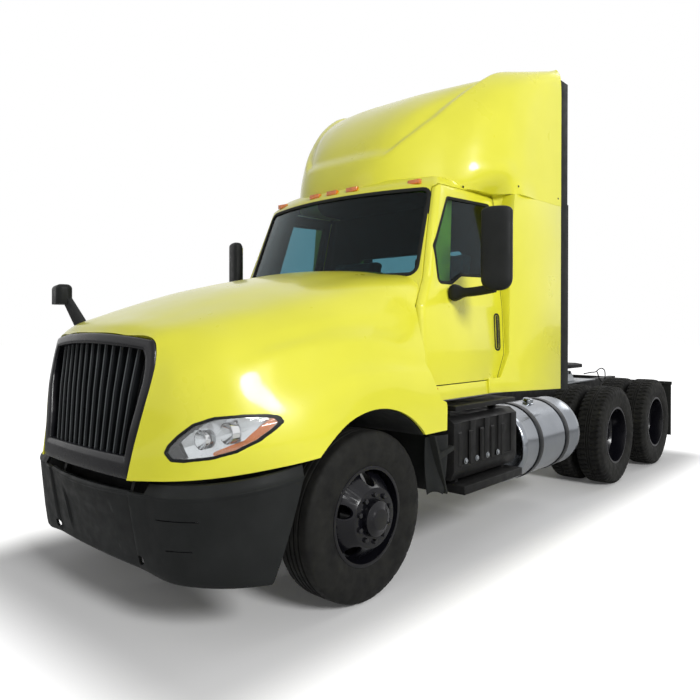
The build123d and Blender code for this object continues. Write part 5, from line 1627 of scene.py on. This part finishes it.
def nose_shade_panel():
    """A dark sheet between the hood's hinges that closes the view under the grille; its darkness is painted
    shade for the shadowed gap there.

    Its station grows by 10 mm times the square across and 20 mm times the square upward.
    """
    u, v = np.meshgrid(np.linspace(-1, 1, 21), np.linspace(0, 1, 9))
    grid = np.stack([.415 * u, AXLE_Y - 1.050 + .010 * u**2 + .020 * v**2, .560 + .275 * v], -1)
    piece = shell("nose_shade_panel", grid, .005)
    outward(piece)
    # a plain dark sheet: painted shade in the gap under the grille
    dress(piece, "chassis", "trim_plastic", TRIM)


nose_shade_panel()


def fifth_wheel_handle():
    """The release handle: a bent bar that ends in a loop beside the coupling."""
    piece = tube("release_handle", HANDLE_PATH, .007)
    dress(piece, "chassis", "frame_paint", CHASSIS)


fifth_wheel_handle()


def flaps():
    """Splash panels behind the front wheels: sheets that curl round the tyre.

    Front and back edges follow square laws of the drop t; the middle bulges up by a sine of u.
    """
    t = np.linspace(0, 1, 13)[:, None]
    u = np.linspace(0, 1, 9)[None, :]
    front = .585 + .075 * t**2
    back = .790 - .055 * t**2
    y = AXLE_Y + (front + (back - front) * u)
    x = 1.125 + .045 * smoothstep(0, 1, u) - .035 * t * (1 - u)
    z = .915 - .405 * t + .02 * np.sin(pi * u) * t
    for way, side in SIDES:
        piece = shell("splash_panel_" + side, np.stack([way * x, y, z], -1), .010, -way)
        soften(piece, .003, 40)
        dress(piece, "chassis", "trim_plastic", TRIM)


flaps()


# ---------------------------------------------------------------- seats
SEAT_X, SEAT_CHANNEL = .490, .155      # a seat's middle, and its upright channels from there
SEAT_SWELL = .012              # the most that the pressure may move a point
CHANNEL_DEPTH = CHANNEL_WIDTH = .007


def seats():
    """The seats' pads: their forms swollen by a little pressure, then drawn in along sewn channels.

    Depth of a channel: its full depth times a bell curve of the distance from its line.
    """
    pad = merged_copy("seat_cushions", "seat_pads")
    even_out = pad.modifiers.new("even", "REMESH")
    even_out.mode = "VOXEL"
    even_out.voxel_size = .012
    bake(pad)
    start = points_of(pad.data)
    cloth = pad.modifiers.new("fill", "CLOTH")
    cloth.settings.use_pressure = True
    cloth.settings.uniform_pressure_force = 4.0
    cloth.settings.effector_weights.gravity = 0.0
    cloth.settings.quality = 3
    for step in range(1, 21):
        bpy.context.scene.frame_set(step)
    bake(pad)
    bpy.context.scene.frame_set(1)
    shift = points_of(pad.data) - start
    far = np.linalg.norm(shift, axis=1, keepdims=True)
    spot = start + shift * np.minimum(1, SEAT_SWELL / np.maximum(far, 1e-9))
    side = np.abs(np.abs(spot[:, 0]) - SEAT_X)
    upright = np.abs(side - SEAT_CHANNEL)
    level = np.abs((spot[:, 2] - 1.62) % .16 - .08) + np.where(side > SEAT_CHANNEL, 1, 0)
    bell = np.exp(-((np.minimum(upright, level) / CHANNEL_WIDTH) ** 2))
    spot = spot - points_of(pad.data, "normal") * (CHANNEL_DEPTH * bell)[:, None]
    pad.data.vertices.foreach_set("co", spot.astype(np.float32).ravel())
    pad.data.update()
    dress(pad, "chassis", "seat_cloth", CLOTH, "seat_cushions", smooth=radians(60))


seats()


# ---------------------------------------------------------------- the pieces that keep the CAD's shape
REST = [                       # node, body, slot, material, width of the rounded edges
    ("frame_rails", "chassis", "frame_paint", CHASSIS, .003),
    ("front_axle", "chassis", "casting", CASTING, .004),
    ("drive_axles", "chassis", "casting", CASTING, .004),
    ("engine_block", "chassis", "casting", CASTING, .010),
    ("radiator", "chassis", "frame_paint", CHASSIS, .006),
    ("fifth_wheel_base", "chassis", "base_metal", BASE, .003),
    ("fifth_wheel_plate", "fifth_wheel", "casting", CASTING, .003),
    ("knuckle_left", "knuckle_left", "casting", CASTING, .003),
    ("knuckle_right", "knuckle_right", "casting", CASTING, .003),
    ("tie_rod", "tie_rod", "casting", CASTING, .002),
    ("mudflaps", "chassis", "seal_rubber", SEAL, .003),
    ("fender_liners", "hood", "trim_plastic", TRIM, .002),
    ("hood_mirror", "hood", "trim_plastic", TRIM, .010),
    ("dashboard", "chassis", "cabin_plastic", CABIN, .006),
    ("seat_bases", "chassis", "cabin_plastic", CABIN, .006),
    ("marker_lamps", "chassis", "amber_lens", AMBER, .004),
]
for row in REST:
    eased(*row)
